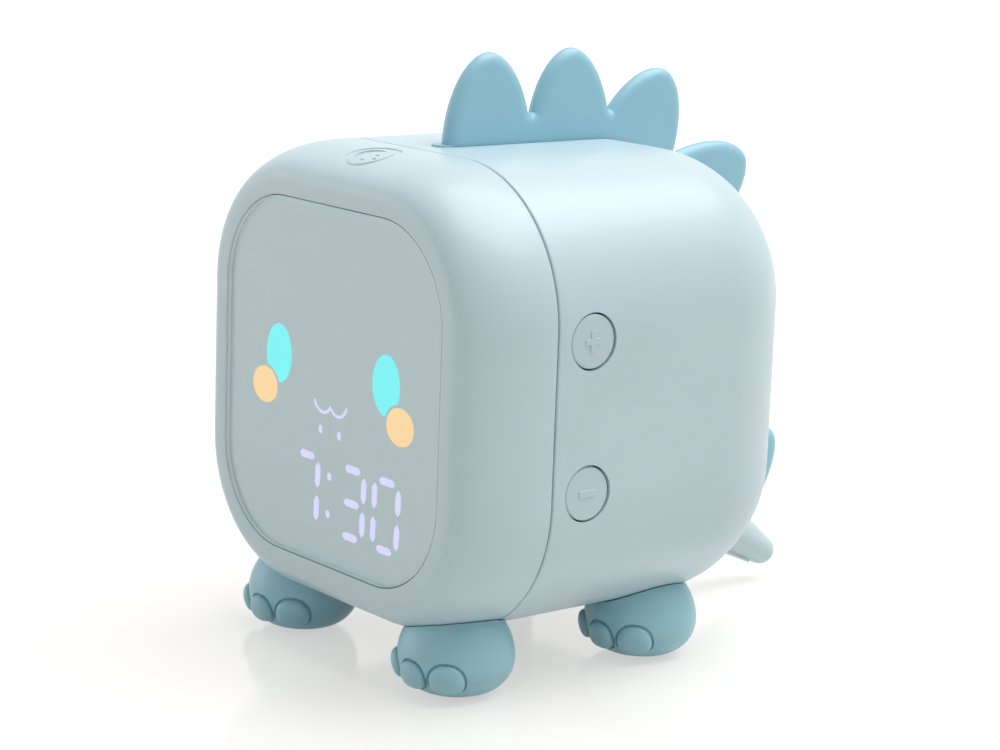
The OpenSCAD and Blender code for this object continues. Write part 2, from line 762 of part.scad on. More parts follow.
// Every lit shape of the face, about the middle of the case
module lit_shapes() {
    for (x = digit_places) translate([x, -digit_drop]) digit_bars();
    for (p = colon_places) translate(p) circle(bar_w / 2);
    for (m = [0, 1]) mirror([m, 0]) {
        eye();
        translate([cheek_x, -cheek_drop]) oval(cheek_w, cheek_h);
    }
    mouth();
    for (p = nose_places) translate(p) oval(nose_w, nose_h);
}

module light_mask() color(black) slab_y(y_mask, y_board) translate([0, z_mid]) difference() {
    plate(mask_w, mask_h, mask_r);
    lit_shapes();
}

module display_board() color(board_green) slab_y(y_board, y_board_back) difference() {
    translate([0, z_mid]) plate(display_w, display_h, display_r);
    for (sx = [-1, 1], sz = [-1, 1])
        translate([sx * display_hole_x, z_mid + sz * display_hole_z]) circle(board_hole_r);
}

// A lamp chip on the front of the display board
module lamp(p, w, h) translate([p[0], 0, z_mid + p[1]])
    box(-w / 2, w / 2, y_board - lamp_t, y_board, -h / 2, h / 2);

module display_lamps() color([0.95, 0.93, 0.75]) {
    for (x = digit_places, p = bar_places(x)) lamp(p, lamp_small, lamp_small);
    for (p = colon_places) lamp(p, lamp_small, lamp_small);
    for (s = [-1, 1]) {
        lamp([s * eye_x, eye_z + 1.5], lamp_wide, lamp_wide * 0.6);
        lamp([s * cheek_x, -cheek_drop], lamp_wide, lamp_wide * 0.6);
        lamp([s * mouth_r, mouth_z - mouth_r], 0.5, 0.4);
    }
    for (p = nose_places) lamp(p, 0.5, lamp_small);
}

// Warm lamps on the back edges of the display board that light the case as a night light
module night_lamps() color([1, 0.85, 0.55]) for (k = [-1.5:1.5], s = [-1, 1])
    translate([k * night_pitch, 0, z_mid + s * (display_h / 2 - night_edge)])
        box(-night_w / 2, night_w / 2, y_board_back, y_board_back + lamp_t, -night_h / 2, night_h / 2);

module display_driver() color(black) {
    translate([driver_x, y_board_back, z_mid + driver_up])
        box(-driver_w / 2, driver_w / 2, 0, driver_t, -driver_h / 2, driver_h / 2);
    translate([0, y_board_back, z_display_socket])
        box(-ribbon_w / 2 - 1, ribbon_w / 2 + 1, 0, ribbon_socket_h, -ribbon_socket_w / 2, ribbon_socket_w / 2);
}

module display_screws() color(steel) display_places()
    translate([0, y_board_back, 0]) rotate([90, 0, 0]) screw(screw_r, board_t + board_screw_in, head_r, head_t);

// ---- ribbon cable between the boards ---------------------------------------

// Points along an arc from angle a to angle b
function arc(c, r, a, b) = [for (i = [0:8]) let (t = a + (b - a) * i / 8)
    [c[0] + r * cos(t), c[1] + r * sin(t)]];

// One face of the cable, offset from its middle: out of the display board, down, and
// back to the main board
function ribbon_face(d) = let (z_main = main_z + ribbon_socket_h + ribbon_t / 2,
        c1 = [y_board_back + ribbon_socket_h + ribbon_run, z_display_socket - ribbon_bend],
        c2 = [c1[0] + 2 * ribbon_bend, z_main + ribbon_bend])
    concat([[y_board_back + ribbon_socket_h, z_display_socket + d]], arc(c1, ribbon_bend + d, 90, 0),
        arc(c2, ribbon_bend - d, 180, 270), [[y_main_socket + 1, z_main + d]]);

function backwards(list) = [for (i = [len(list) - 1:-1:0]) list[i]];

module ribbon_cable() color([0.85, 0.85, 0.82]) slab_x(-ribbon_w / 2, ribbon_w / 2)
    polygon(concat(ribbon_face(ribbon_t / 2), backwards(ribbon_face(-ribbon_t / 2))));

// ---- touch sensor under the symbol on top ----------------------------------

module touch_pad() color(brass) rod_z(0, y_touch, z_touch - touch_t, z_touch, touch_r);

// Springy strip from the display board's back up to the pad
module touch_lead() color(brass) box(-touch_lead_w / 2, touch_lead_w / 2, y_board_back, y_board_back + touch_t,
    z_mid + display_h / 2 - 6, z_touch - touch_t);

// ---- buttons ---------------------------------------------------------------

// Cap of the +X side at a height: domed disc, retaining flange and stem
module button_cap(z) {
    r = button_d / 2;
    translate([0, y_button, z]) rotate([0, 90, 0]) rotate_extrude() polygon([
        [0, stem_end], [button_stem_d / 2, stem_end], [button_stem_d / 2, flange_in],
        [button_flange_d / 2, flange_in], [button_flange_d / 2, flange_out], [r, flange_out],
        [r, body_w / 2 - button_chamfer], [r - button_chamfer, body_w / 2], [0, body_w / 2]]);
}

// Plunger of the tact switch behind that cap
module plunger(z) rod_x(y_button, z, tact_top - plunger_in, stem_end, plunger_d / 2);

module plus_button() color(shell_blue) button_cap(button_levels[0]);
module minus_button() color(shell_blue) button_cap(button_levels[1]);
module mode_button() color(shell_blue) mirror([1, 0, 0]) button_cap(button_levels[0]);
module alarm_button() color(shell_blue) mirror([1, 0, 0]) button_cap(button_levels[1]);
module plus_plunger() color(black) plunger(button_levels[0]);
module minus_plunger() color(black) plunger(button_levels[1]);
module mode_plunger() color(black) mirror([1, 0, 0]) plunger(button_levels[0]);
module alarm_plunger() color(black) mirror([1, 0, 0]) plunger(button_levels[1]);

module tact_switches() color([0.25, 0.25, 0.27])
    for (m = [0, 1], z = button_levels) mirror([m, 0, 0]) difference() {
        box(button_board_out, tact_top, y_button - tact_w / 2, y_button + tact_w / 2,
            z - tact_w / 2, z + tact_w / 2);
        rod_x(y_button, z, tact_top - plunger_in - button_travel - 0.2, tact_top + 1, plunger_d / 2 + run_gap);
    }

module button_board() slab_x(button_board_in, button_board_out) difference() {
    translate([y_button, z_mid]) plate(button_board_w, button_board_h, button_board_r);
    for (t = [-1, 1]) translate([y_button, z_mid + t * button_board_hole]) circle(board_hole_r);
}

module button_board_right() color(board_green) button_board();
module button_board_left() color(board_green) mirror([1, 0, 0]) button_board();

module button_board_screws() color(steel) for (m = [0, 1], t = [-1, 1]) mirror([m, 0, 0])
    translate([button_board_in, y_button, z_mid + t * button_board_hole]) rotate([0, 90, 0])
        screw(screw_r, board_t + board_screw_in, head_r, head_t);

// ---- main board and what it carries ----------------------------------------

module main_board() color(board_green) difference() {
    slab_z(main_low, main_z) translate([0, (y_main_front + y_main_rear) / 2]) plate(main_w, main_d, 3);
    for (p = main_holes) rod_z(p[0], p[1], main_low - 1, main_z + 1, board_hole_r);
    // notch over the tail's screw
    box(-main_notch_w / 2, main_notch_w / 2, y_main_rear - main_notch_d, y_main_rear + 1,
        main_low - 1, main_z + 1);
}

module main_board_screws() color(steel) for (p = main_holes)
    translate([p[0], p[1], main_z]) rotate([180, 0, 0]) screw(screw_r, board_t + board_screw_in, head_r, head_t);

module chip(x, w, d) box(x - w / 2, x + w / 2, y_chips, y_chips + d, main_z, main_z + chip_t);

// The clock's own chip, the charger's chip, the sound chip and the ribbon cable's socket
module main_chips() color(black) {
    chip(0, clock_chip_w, clock_chip_d);
    for (s = [-1, 1]) chip(s * small_chip_x, small_chip_w, small_chip_d);
    box(-ribbon_w / 2 - 1, ribbon_w / 2 + 1, y_main_socket - ribbon_socket_w / 2,
        y_main_socket + ribbon_socket_w / 2, main_z, main_z + ribbon_socket_h);
}

// Metal mouth with a back and a tongue inside
module charging_socket() color(steel) {
    y_back = port_mouth - port_l;
    slab_y(y_back, port_mouth) translate([port_x, port_z]) difference() {
        plate(port_w, port_h, port_h / 2 - eps);
        plate(port_w - 0.7, port_h - 0.7, (port_h - 0.7) / 2 - eps);
    }
    slab_y(y_back, y_back + 0.8) translate([port_x, port_z]) plate(port_w, port_h, port_h / 2 - eps);
    box(port_x - 3.3, port_x + 3.3, y_back, port_mouth - 1, port_z - 0.35, port_z + 0.35);
}

// Body of the slide switch, with the slot that its knob runs in
module switch_body() color(steel) difference() {
    half = knob_w / 2 + slide_travel / 2 + 0.3;
    box(-port_x - switch_w / 2, -port_x + switch_w / 2, y_switch - switch_l, y_switch,
        main_z, main_z + switch_h);
    box(-port_x - half, -port_x + half, y_knob_in - 0.1, y_switch + 1,
        knob_z - knob_h / 2 - 0.1, knob_z + knob_h / 2 + 0.1);
}

module switch_knob() color(black)
    box(-port_x - knob_w / 2 - slide_travel / 2, -port_x + knob_w / 2 - slide_travel / 2,
        y_knob_in, y_rear + 0.3, knob_z - knob_h / 2, knob_z + knob_h / 2);

module battery_cell() color([0.25, 0.45, 0.60]) rod_x(y_cell, z_cell, -cell_l / 2, cell_l / 2, cell_d / 2);

// Trough for the cell, open at the top
module battery_holder() color(black) difference() {
    box(-holder_end - holder_wall, holder_end + holder_wall, y_cell - holder_half, y_cell + holder_half,
        main_z, z_cell + holder_rise);
    rod_x(y_cell, z_cell, -holder_end, holder_end, cell_d / 2 + lay_gap);
    box(-holder_end, holder_end, y_cell - cell_d / 2 - lay_gap, y_cell + cell_d / 2 + lay_gap,
        z_cell, z_cell + holder_rise + 1);
}

module battery_contacts() color(steel) for (m = [0, 1]) mirror([m, 0, 0])
    box(cell_l / 2, holder_end, y_cell - contact_w / 2, y_cell + contact_w / 2,
        z_cell - contact_drop, z_cell + contact_rise);

// ---- speaker ----------------------------------------------------------------

module speaker_gasket() color(rubber_grey) slab_z(z_gasket, z_basket) translate([0, y_speaker]) difference() {
    circle(speaker_d / 2);
    circle(speaker_d / 2 - 2.5);
}

// Pressed basket: rim, cone-shaped wall and the seat of the magnet
module speaker_basket() color(steel) translate([0, y_speaker, z_basket]) rotate_extrude() let (r = speaker_d / 2)
    polygon([[r - 3, 0], [r, 0], [r, basket_rim_t], [r - 2.2, basket_rim_t], [r - 6, basket_h], [0, basket_h],
        [0, basket_h - 0.9], [r - 6.6, basket_h - 0.9], [r - 3, 0.6]]);

module speaker_cone() color([0.15, 0.15, 0.16])
    translate([0, y_speaker, z_basket]) rotate_extrude() let (r = speaker_d / 2)
        polygon([[r - 3.1, 0], [r - 5.4, 0], [r - 10, basket_h - 3], [0, basket_h - 1.6], [0, basket_h - 1.2],
            [r - 9.8, basket_h - 2.6], [r - 5.2, 0.4], [r - 3.1, 0.4]]);

module speaker_magnet() color([0.35, 0.35, 0.37])
    rod_z(0, y_speaker, z_basket + basket_h, z_basket + basket_h + magnet_h, speaker_d / 2 - 7);

module speaker_screws() color(steel) speaker_places() translate([0, 0, speaker_post_top])
    rotate([180, 0, 0]) screw(screw_r, speaker_screw_l, speaker_head_r, head_t);

// ---- spine comb and tail -----------------------------------------------------

// A spine's outline on the line y = 0, pointing up; it goes on below the line
module spine(w, h, root) {
    p = 2 / spine_power;
    polygon(concat([[-w / 2, -root]],
        [for (i = [0:24]) let (t = 180 - 7.5 * i)
            [w / 2 * sign(cos(t)) * pow(abs(cos(t)), p), h * pow(abs(sin(t)), p)]],
        [[w / 2, -root]]));
}

// Places a Y-Z outline on the case's back, s along it from the start of the rear
// rounding, upright on the surface and leaned by a few degrees
module at_back(s, lean) {
    turn = min(max(s / rear_round * 180 / PI, 0), 90);
    down = max(s - rear_round * PI / 2, 0);
    cy = y_rear - rear_round;
    cz = z_top - rear_round;
    translate([cy + min(s, 0) + rear_round * sin(turn), cz + rear_round * cos(turn) - down])
        rotate(lean - turn) children();
}

module comb_outline() difference() {
    intersection() {
        union() {
            for (p = spines) at_back(p[0], p[1]) spine(p[2], p[3], 3);
            back_band(-valley_h, wall, y_comb + 3, z_comb + 3);
        }
        translate([y_comb, z_comb]) square([200, 200]);
    }
    back_outline(wall + lay_gap, y_comb - 1, z_comb - 1);
}

// Comb with a hidden flange that bears on the inside of the wall
module spine_comb() color(trim_blue) {
    slab_x(-spine_t / 2, spine_t / 2) union() {
        comb_outline();
        back_band(wall - eps, wall + lay_gap + flange_t, y_comb, z_comb);
    }
    slab_x(-flange_w / 2, flange_w / 2) back_band(wall + lay_gap, wall + lay_gap + flange_t, y_comb, z_comb);
}

// Their broad heads hold the flange against the wall
module comb_screws() color(steel) comb_screw_places()
    translate([0, y_comb_post, 0]) rotate([-90, 0, 0]) screw(screw_r, comb_screw_l, comb_head_r, head_t);

// Frame whose +Z runs along the tail's axis, out of its tip, from the tip's middle
module tail_axis() translate([0, y_tail_tip, tail_tip_z]) rotate([-90 - tail_slope, 0, 0]) children();

// The tail's outline turned about its axis: a cone that runs smoothly into its round tip
module tail_blank(grow) tail_axis() rotate_extrude() let (tip = tail_tip_r + grow, root = tail_root_r + grow)
    polygon(concat([[0, -tail_len - 8], [root, -tail_len - 8],
            [root * cos(tail_flare), -tail_len + root * sin(tail_flare)]],
        [for (i = [0:arc_steps]) let (t = tail_flare + (90 - tail_flare) * i / arc_steps)
            [tip * cos(t), tip * sin(t)]]));

module tail() color(trim_blue) difference() {
    union() {
        difference() {
            tail_blank(0);
            case_form(seat_gap);
        }
        tail_axis() translate([0, 0, -tail_boss_end + 0.3]) cylinder(h = tail_peg_l, r = tail_peg_r);
    }
    // pilot hole for the tail screw
    tail_axis() translate([0, 0, -tail_boss_end - 1]) cylinder(h = tail_peg_l, r = big_screw_r + screw_gap);
    // slot for the tail fin's tab
    slab_x(-spine_t / 2 - seat_gap, spine_t / 2 + seat_gap) tail_fin_tab(seat_gap);
}

// Strip that covers the hollow of the tail's underside, wrapped round it from the case outwards
module tail_cover() color(shell_blue) difference() {
    // the cone's radius falls from its thick end to its tip
    fall = tan(tail_flare);
    low = -tail_len + tail_root_r * sin(tail_flare);
    near = tail_root_r * cos(tail_flare) + seat_gap;
    far = near - (cover_l - tail_root_r * sin(tail_flare)) * fall;
    tail_axis() rotate([0, 0, 90 - cover_angle / 2]) rotate_extrude(angle = cover_angle)
        polygon([[near, low], [near + cover_t, low], [far + cover_t, cover_l - tail_len], [far, cover_l - tail_len]]);
    case_form(seat_gap);
}

module tail_screw() color(steel) tail_axis() translate([0, 0, -tail_boss_end])
    screw(big_screw_r, tail_screw_l, tail_head_r, big_head_t);

// Y-Z frame on the upper line of the tail, at the middle of the tail fin
module on_tail() translate([y_tail_tip, tail_tip_z]) rotate(-tail_slope - tail_flare)
    translate([-tail_fin_back, tail_tip_r]) children();

module tail_fin_tab(gap) on_tail() translate([-fin_tab_w / 2 - gap, -fin_tab_d - gap])
    square([fin_tab_w + 2 * gap, 2 * fin_tab_d]);

module tail_fin() color(trim_blue) {
    difference() {
        slab_x(-spine_t / 2, spine_t / 2) on_tail() spine(spine_w, spine_h, 1);
        tail_blank(seat_gap);
    }
    slab_x(-spine_t / 2, spine_t / 2) tail_fin_tab(0);
}

// ---- feet -------------------------------------------------------------------

// Squat ball with a broad rounded lower edge; its top goes up into the case's form
module foot_blank() {
    r = foot_d / 2;
    rotate_extrude() polygon(concat([[0, pad_out]],
        [for (i = [0:arc_steps]) let (t = 90 * i / arc_steps)
            [r - foot_round + foot_round * sin(t), pad_out + foot_round * (1 - cos(t))]],
        [for (i = [1:arc_steps]) let (t = foot_top_angle * i / arc_steps)
            [r * cos(t), pad_out + foot_round + r * sin(t)]],
        [[0, pad_out + foot_round + r * sin(foot_top_angle)]]));
}

// Pill that stands half out of the foot
module toe() {
    r = toe_h / 2;
    s = toe_w / 2 - r;
    translate([0, -foot_d / 2 - toe_out + r, toe_z]) rotate([0, 90, 0]) rotate_extrude() intersection() {
        union() {
            for (t = [-1, 1]) translate([0, t * s]) circle(r);
            translate([-r, -s]) square([2 * r, 2 * s]);
        }
        translate([0, -toe_w]) square([r + 1, 2 * toe_w]);
    }
}

module foot(k) difference() {
    translate([foot_places[k][0], foot_places[k][1], 0]) difference() {
        union() {
            foot_blank();
            for (t = [-1, 0, 1]) rotate([0, 0, t * toe_step]) toe();
        }
        translate([0, 0, -1]) cylinder(h = 1 + pad_t, r = pad_d / 2 + lay_gap);
        translate([0, 0, -1]) cylinder(h = 1 + foot_head_z + big_head_t, r = big_head_r + 0.3);
        translate([0, 0, -1]) cylinder(h = 40, r = big_screw_r + 0.2);
    }
    case_form(seat_gap);
}

module foot_front_right() color(trim_blue) foot(0);
module foot_front_left() color(trim_blue) foot(1);
module foot_rear_right() color(trim_blue) foot(2);
module foot_rear_left() color(trim_blue) foot(3);

module foot_screws() color(steel) for (p = foot_places)
    translate([p[0], p[1], foot_head_z + big_head_t]) screw(big_screw_r, foot_screw_l, big_head_r, big_head_t);

module foot_pads() color(rubber_grey) for (p = foot_places) rod_z(p[0], p[1], 0, pad_t, pad_d / 2);

module case_screws() color(steel) for (s = [-1, 1])
    translate([s * lug_x, y_case_screw, z_low + case_recess]) screw(screw_r, 7, head_r, head_t);

front_shell();
rear_shell();
face_lens();
light_sheet();
light_mask();
display_board();
display_lamps();
night_lamps();
display_driver();
display_screws();
touch_pad();
touch_lead();
plus_button();
minus_button();
mode_button();
alarm_button();
plus_plunger();
minus_plunger();
mode_plunger();
alarm_plunger();
tact_switches();
button_board_right();
button_board_left();
button_board_screws();
main_board();
main_chips();
main_board_screws();
ribbon_cable();
charging_socket();
switch_body();
switch_knob();
battery_cell();
battery_holder();
battery_contacts();
speaker_gasket();
speaker_basket();
speaker_cone();
speaker_magnet();
speaker_screws();
spine_comb();
comb_screws();
tail();
tail_cover();
tail_fin();
tail_screw();
case_screws();
foot_front_right();
foot_front_left();
foot_rear_right();
foot_rear_left();
foot_screws();
foot_pads();
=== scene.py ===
# %% [markdown]
# # A bedside clock shaped like a small dinosaur
#
# The clock is a soft cube of pale blue plastic on four round feet. A lit face shines
# through its front, a comb of spines runs over its back, and a tail leans out behind.
# The solids of every piece come ready made from the CAD model. This notebook gives
# them their looks: smooth mouldings, small engraved details, materials, light and a camera.
#
# One frame holds for everything: metres, X to the right of someone facing the clock,
# Y away from them, Z up, and the table at Z = 0.

# %% The frame, the CAD model as it was packed
import math

import bmesh
import bpy
import numpy as np
from mathutils import Matrix, Vector


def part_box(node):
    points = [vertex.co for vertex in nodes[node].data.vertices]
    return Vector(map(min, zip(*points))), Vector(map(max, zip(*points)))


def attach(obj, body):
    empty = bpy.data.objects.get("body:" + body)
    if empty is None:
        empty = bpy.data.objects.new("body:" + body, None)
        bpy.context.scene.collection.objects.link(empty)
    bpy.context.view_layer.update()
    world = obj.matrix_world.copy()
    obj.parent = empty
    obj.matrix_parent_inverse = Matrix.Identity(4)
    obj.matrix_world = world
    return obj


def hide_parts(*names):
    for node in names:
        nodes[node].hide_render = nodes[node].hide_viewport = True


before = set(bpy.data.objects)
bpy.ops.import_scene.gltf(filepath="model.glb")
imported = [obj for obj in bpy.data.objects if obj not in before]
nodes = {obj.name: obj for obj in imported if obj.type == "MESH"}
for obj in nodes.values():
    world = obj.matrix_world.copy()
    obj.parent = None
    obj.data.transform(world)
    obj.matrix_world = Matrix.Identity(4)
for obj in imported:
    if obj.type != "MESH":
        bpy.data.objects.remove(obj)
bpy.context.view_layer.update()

# %% [markdown]
# ## Sizes
#
# Lengths in this notebook are millimetres, because that is how a moulding is drawn.
# The outer planes could be typed in once more, but they are read from the CAD nodes,
# so they can't drift from the model.

# %% The case's planes, read from the CAD
MM = 0.001


def node_box(name):
    """Lowest and highest corner of a CAD node, in millimetres."""
    low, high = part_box(name)
    return np.array(low) / MM, np.array(high) / MM


def middle(name):
    """Middle of a CAD node's box, in millimetres."""
    low, high = node_box(name)
    return (low + high) / 2


shell_low, shell_high = node_box("front_shell")
back_low, back_high = node_box("rear_shell")
Y_FACE, Y_BACK = shell_low[1], back_high[1]
Z_LOW, Z_TOP = shell_low[2], shell_high[2]
HALF_W, HALF_H = shell_high[0], (Z_TOP - Z_LOW) / 2
Z_MID = (Z_TOP + Z_LOW) / 2
HALF_GAP = 0.15                  # half of the open seam between the two shells
Y_SEAM = back_low[1] - HALF_GAP
CORNER_R = 29.0                  # the case's corners, seen from the front
RIM_IN, RIM_DEEP = 7.4, 16.2     # the soft rim: its step in and its depth
REAR_R = 24.4                    # the round edge of the back
WALL = 2.2
WINDOW_R = 18.8                  # the window's corners, and how far their centres lie off its middle
WINDOW_C = node_box("face_lens")[1][0] - WINDOW_R
print(f"case {2 * HALF_W:.1f} wide, {Y_BACK - Y_FACE:.1f} deep, {2 * HALF_H:.1f} high; seam at y = {Y_SEAM:.2f}")

# %% [markdown]
# ## Camera
#
# A long lens from the front right, a little above the clock, rolled by two degrees. A
# constraint could aim the camera at the clock. Here its place and turn are plain
# numbers, so every other view can start from it.

# %% Camera
def put(data):
    """A new object in the scene for a mesh, a camera or a lamp."""
    made = bpy.data.objects.new(data.name, data)
    bpy.context.scene.collection.objects.link(made)
    return made


def look_axes(yaw, pitch, roll):
    """Right, up and backward axes of a camera that is turned by yaw about Z, tipped down
    by pitch and rolled about its own line of sight. All angles are in degrees."""
    yaw, pitch, roll = (math.radians(a) for a in (yaw, pitch, roll))
    ahead = np.array([-math.sin(yaw) * math.cos(pitch), math.cos(yaw) * math.cos(pitch), -math.sin(pitch)])
    level = np.array([math.cos(yaw), math.sin(yaw), 0.0])
    upright = np.cross(level, ahead)
    right = math.cos(roll) * level + math.sin(roll) * upright
    up = -math.sin(roll) * level + math.cos(roll) * upright
    return right, up, -ahead


CAMERA_PLACE = np.array([406.64, Y_FACE - 288.51, 161.78])
YAW, PITCH, ROLL = 50.896, 11.693, 2.083
camera_data = bpy.data.cameras.new("camera")
camera_data.sensor_width, camera_data.lens = 36.0, 96.824
camera_data.clip_start, camera_data.clip_end = 0.01, 20
camera = put(camera_data)
stand = np.eye(4)
stand[:3, :3] = np.column_stack(look_axes(YAW, PITCH, ROLL))
stand[:3, 3] = CAMERA_PLACE * MM
camera.matrix_world = Matrix(stand.tolist())
bpy.context.scene.camera = camera
print("camera at", CAMERA_PLACE.round(1), "mm")

# %% [markdown]
# ## From arrays to meshes
#
# A case like this could be pushed and pulled out of a cube by hand, but then none of
# its sizes could be changed later. So every moulding below is an array of points: a
# function of two parameters, worked out for the whole grid at once. These helpers
# number the quads between neighbouring points, join seams and poles, and put the result
# on the body that carries it.

# %% Grids of points, and the quads between them
def quads(rows, cols, loop_rows=False, loop_cols=False):
    """Corner numbers of the quads of a grid that is numbered row by row. A looped
    direction joins its last line to its first."""
    r = np.arange(rows if loop_rows else rows - 1)[:, None]
    c = np.arange(cols if loop_cols else cols - 1)[None, :]
    r2, c2 = (r + 1) % rows, (c + 1) % cols
    return np.stack([r * cols + c, r * cols + c2, r2 * cols + c2, r2 * cols + c], -1).reshape(-1, 4)


def tube(points, ring=False):
    """A shape, which is points and faces, of rows that each go once round. In a ring the
    last row joins the first as well."""
    return points, quads(*points.shape[:2], loop_rows=ring, loop_cols=True)


def capped(points):
    """A tube with one flat face at each end."""
    rows, n = points.shape[:2]
    last = (rows - 1) * n
    ends = [list(range(n)), list(range(last + n - 1, last - 1, -1))]
    return points, quads(rows, n, loop_cols=True).tolist() + ends


def join(shapes):
    """Several shapes as one."""
    points, faces, first = [], [], 0
    for p, f in shapes:
        p = np.asarray(p).reshape(-1, 3)
        points.append(p)
        faces += [[first + i for i in face] for face in f]
        first += len(p)
    return np.concatenate(points), faces


print("a 3 by 4 tube has", len(quads(3, 4, loop_cols=True)), "quads")


# %% Objects, and cuts through them
def weld(mesh, apart, outward=False):
    """Merges points that lie less than a distance apart, which closes seams and poles and
    clears away faces without area; then turns the faces outward where that is asked for."""
    bm = bmesh.new()
    bm.from_mesh(mesh)
    bmesh.ops.remove_doubles(bm, verts=bm.verts, dist=apart)
    bmesh.ops.dissolve_degenerate(bm, edges=bm.edges, dist=apart)
    if outward:
        bmesh.ops.recalc_face_normals(bm, faces=bm.faces)
    bm.to_mesh(mesh)
    bm.free()
    return mesh





def build(name, shape):
    """A new object of a shape in millimetres, welded and facing outward."""
    mesh = bpy.data.meshes.new(name)
    mesh.from_pydata((np.asarray(shape[0]).reshape(-1, 3) * MM).tolist(), [], [list(f) for f in shape[1]])
    return put(weld(mesh, 1e-7, outward=True))


def cut(piece, *cutters, how="DIFFERENCE"):
    """Takes the cutters' volume out of a piece for good, or adds it, and deletes the cutters."""
    for cutter in cutters:
        step = piece.modifiers.new("cut", "BOOLEAN")
        step.operation, step.solver, step.object = how, "EXACT", cutter
    bpy.context.view_layer.update()
    result = piece.evaluated_get(bpy.context.evaluated_depsgraph_get())
    piece.data = weld(bpy.data.meshes.new_from_object(result), 1e-6)
    piece.modifiers.clear()
    for cutter in cutters:
        bpy.data.objects.remove(cutter)
    return piece


def finish_piece(piece, material, body="case", replaces=(), crease=32):
    """Smooth shading with creases above an angle, a material, and the body it rides on."""
    mesh = piece.data
    mesh.polygons.foreach_set("use_smooth", np.ones(len(mesh.polygons), bool))
    mesh.set_sharp_from_angle(angle=math.radians(crease))
    mesh.materials.clear()
    mesh.materials.append(material)
    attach(piece, body)
    if replaces:
        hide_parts(*replaces)
    print(f"{piece.name}: {len(mesh.polygons)} faces")


# %% [markdown]
# ## Profiles carried round a rounded square
#
# Seen from the front the case is a rounded square. Seen from the side its edge is a
# curve. A bevelled cube comes close, but a bevel steps in as far as it reaches back,
# and this rim doesn't. So the shell is that edge curve carried round the square: each
# point of the curve has a step in from the side and a depth, and a step in only
# shortens the corner's radius, because the centres of the four corners never move.

# %% The rounded square and the carried profile
PER_CORNER, PER_SIDE = 28, 10


def circle(a):
    """Points at angles a on a circle of radius 1: (cos a, sin a)."""
    return np.stack([np.cos(a), np.sin(a)], -1)


def corner_walk():
    """Once round a rounded square: unit direction of the corner's radius, and the signs
    that choose the corner's centre. On a side the signs slide from one corner to the next."""
    ways, signs = [], []
    corners = [(1, 1, 90), (1, -1, 0), (-1, -1, -90), (-1, 1, -180)]
    for k, (sx, sz, start) in enumerate(corners):
        a = np.radians(np.linspace(start, start - 90, PER_CORNER + 1))
        ways.append(circle(a))
        signs.append(np.tile([sx, sz], (PER_CORNER + 1, 1)))
        t = np.linspace(0, 1, PER_SIDE + 1)[1:-1, None]
        ways.append(np.tile(ways[-1][-1], (PER_SIDE - 1, 1)))
        signs.append(np.array([sx, sz]) * (1 - t) + np.array(corners[(k + 1) % 4][:2]) * t)
    return np.concatenate(ways), np.concatenate(signs)


def carry(rows):
    """Points of a profile carried round rounded squares in X-Z. A row holds the corner's
    centre in X and Z, its radius and a place in Y: the point is centre + radius * way."""
    rows = np.asarray(rows, float)
    ways, signs = corner_walk()
    flat = signs[None] * rows[:, None, :2] + rows[:, None, 2:3] * ways[None]
    y = np.broadcast_to(rows[:, None, 3:], flat[..., :1].shape)
    return np.concatenate([flat[..., :1], y, flat[..., 1:] + Z_MID], -1)


def case_rows(profile):
    """Rows of the case's outline from (step in from the side, depth behind the face)."""
    step, depth = np.asarray(profile, float).T
    across, upward = (np.full(len(step), half - CORNER_R) for half in (HALF_W, HALF_H))
    return np.column_stack([across, upward, CORNER_R - step, Y_FACE + depth])


def window_rows(profile):
    """Rows of the window's outline from (growth beyond the lens, depth behind the face)."""
    grow, depth = np.asarray(profile, float).T
    centre = np.full(len(grow), WINDOW_C)
    return np.column_stack([centre, centre, WINDOW_R + grow, Y_FACE + depth])


def closed(rows, count=1):
    """Rows of a form that is closed at both ends: there its rounded square shrinks to a
    point in count steps, centre and radius times s."""
    s = np.linspace(1, 0, count + 1)[1:, None]
    start, end = (np.column_stack([row[:3] * s, np.repeat(row[3], count)]) for row in (rows[0], rows[-1]))
    return np.concatenate([start[::-1], rows, end])


print("walk round the square:", len(corner_walk()[0]), "points")


# %% Softened corners, and the angles of turns
def soften(path, rounds, steps=5):
    """A path of 2D corners with some of them rounded: a corner with a radius is replaced
    by a parabola between the two points that lie a radius away from it."""
    path = np.asarray(path, float)
    out = []
    for k, p in enumerate(path):
        r = rounds.get(k, 0)
        if not r:
            out.append(p[None])
            continue
        a, b = path[k - 1], path[(k + 1) % len(path)]
        a = p + (a - p) / np.linalg.norm(a - p) * r
        b = p + (b - p) / np.linalg.norm(b - p) * r
        t = np.linspace(0, 1, steps)[:, None]
        out.append((1 - t) ** 2 * a + 2 * t * (1 - t) * p + t ** 2 * b)
    return np.concatenate(out)


def quarter(n):
    """Angles of a quarter turn, from 0 to 90 degrees, in radians."""
    return np.linspace(0, 1, n) * np.pi / 2


def once_round(n):
    """Angles of a whole turn, without its end, in radians."""
    return np.linspace(0, 2 * np.pi, n, endpoint=False)


print("a softened corner:", len(soften([[0, 0], [1, 0], [1, 1]], {1: 0.2})) - 2, "points")

# %% [markdown]
# ## Turned and extruded solids
#
# Round parts are lathes: a profile of radius and height turned about an axis. Flat
# parts are prisms: an outline drawn along an axis. Blender's own cylinder would need a
# bevel for each soft edge and one more object for each step; a profile holds them all.

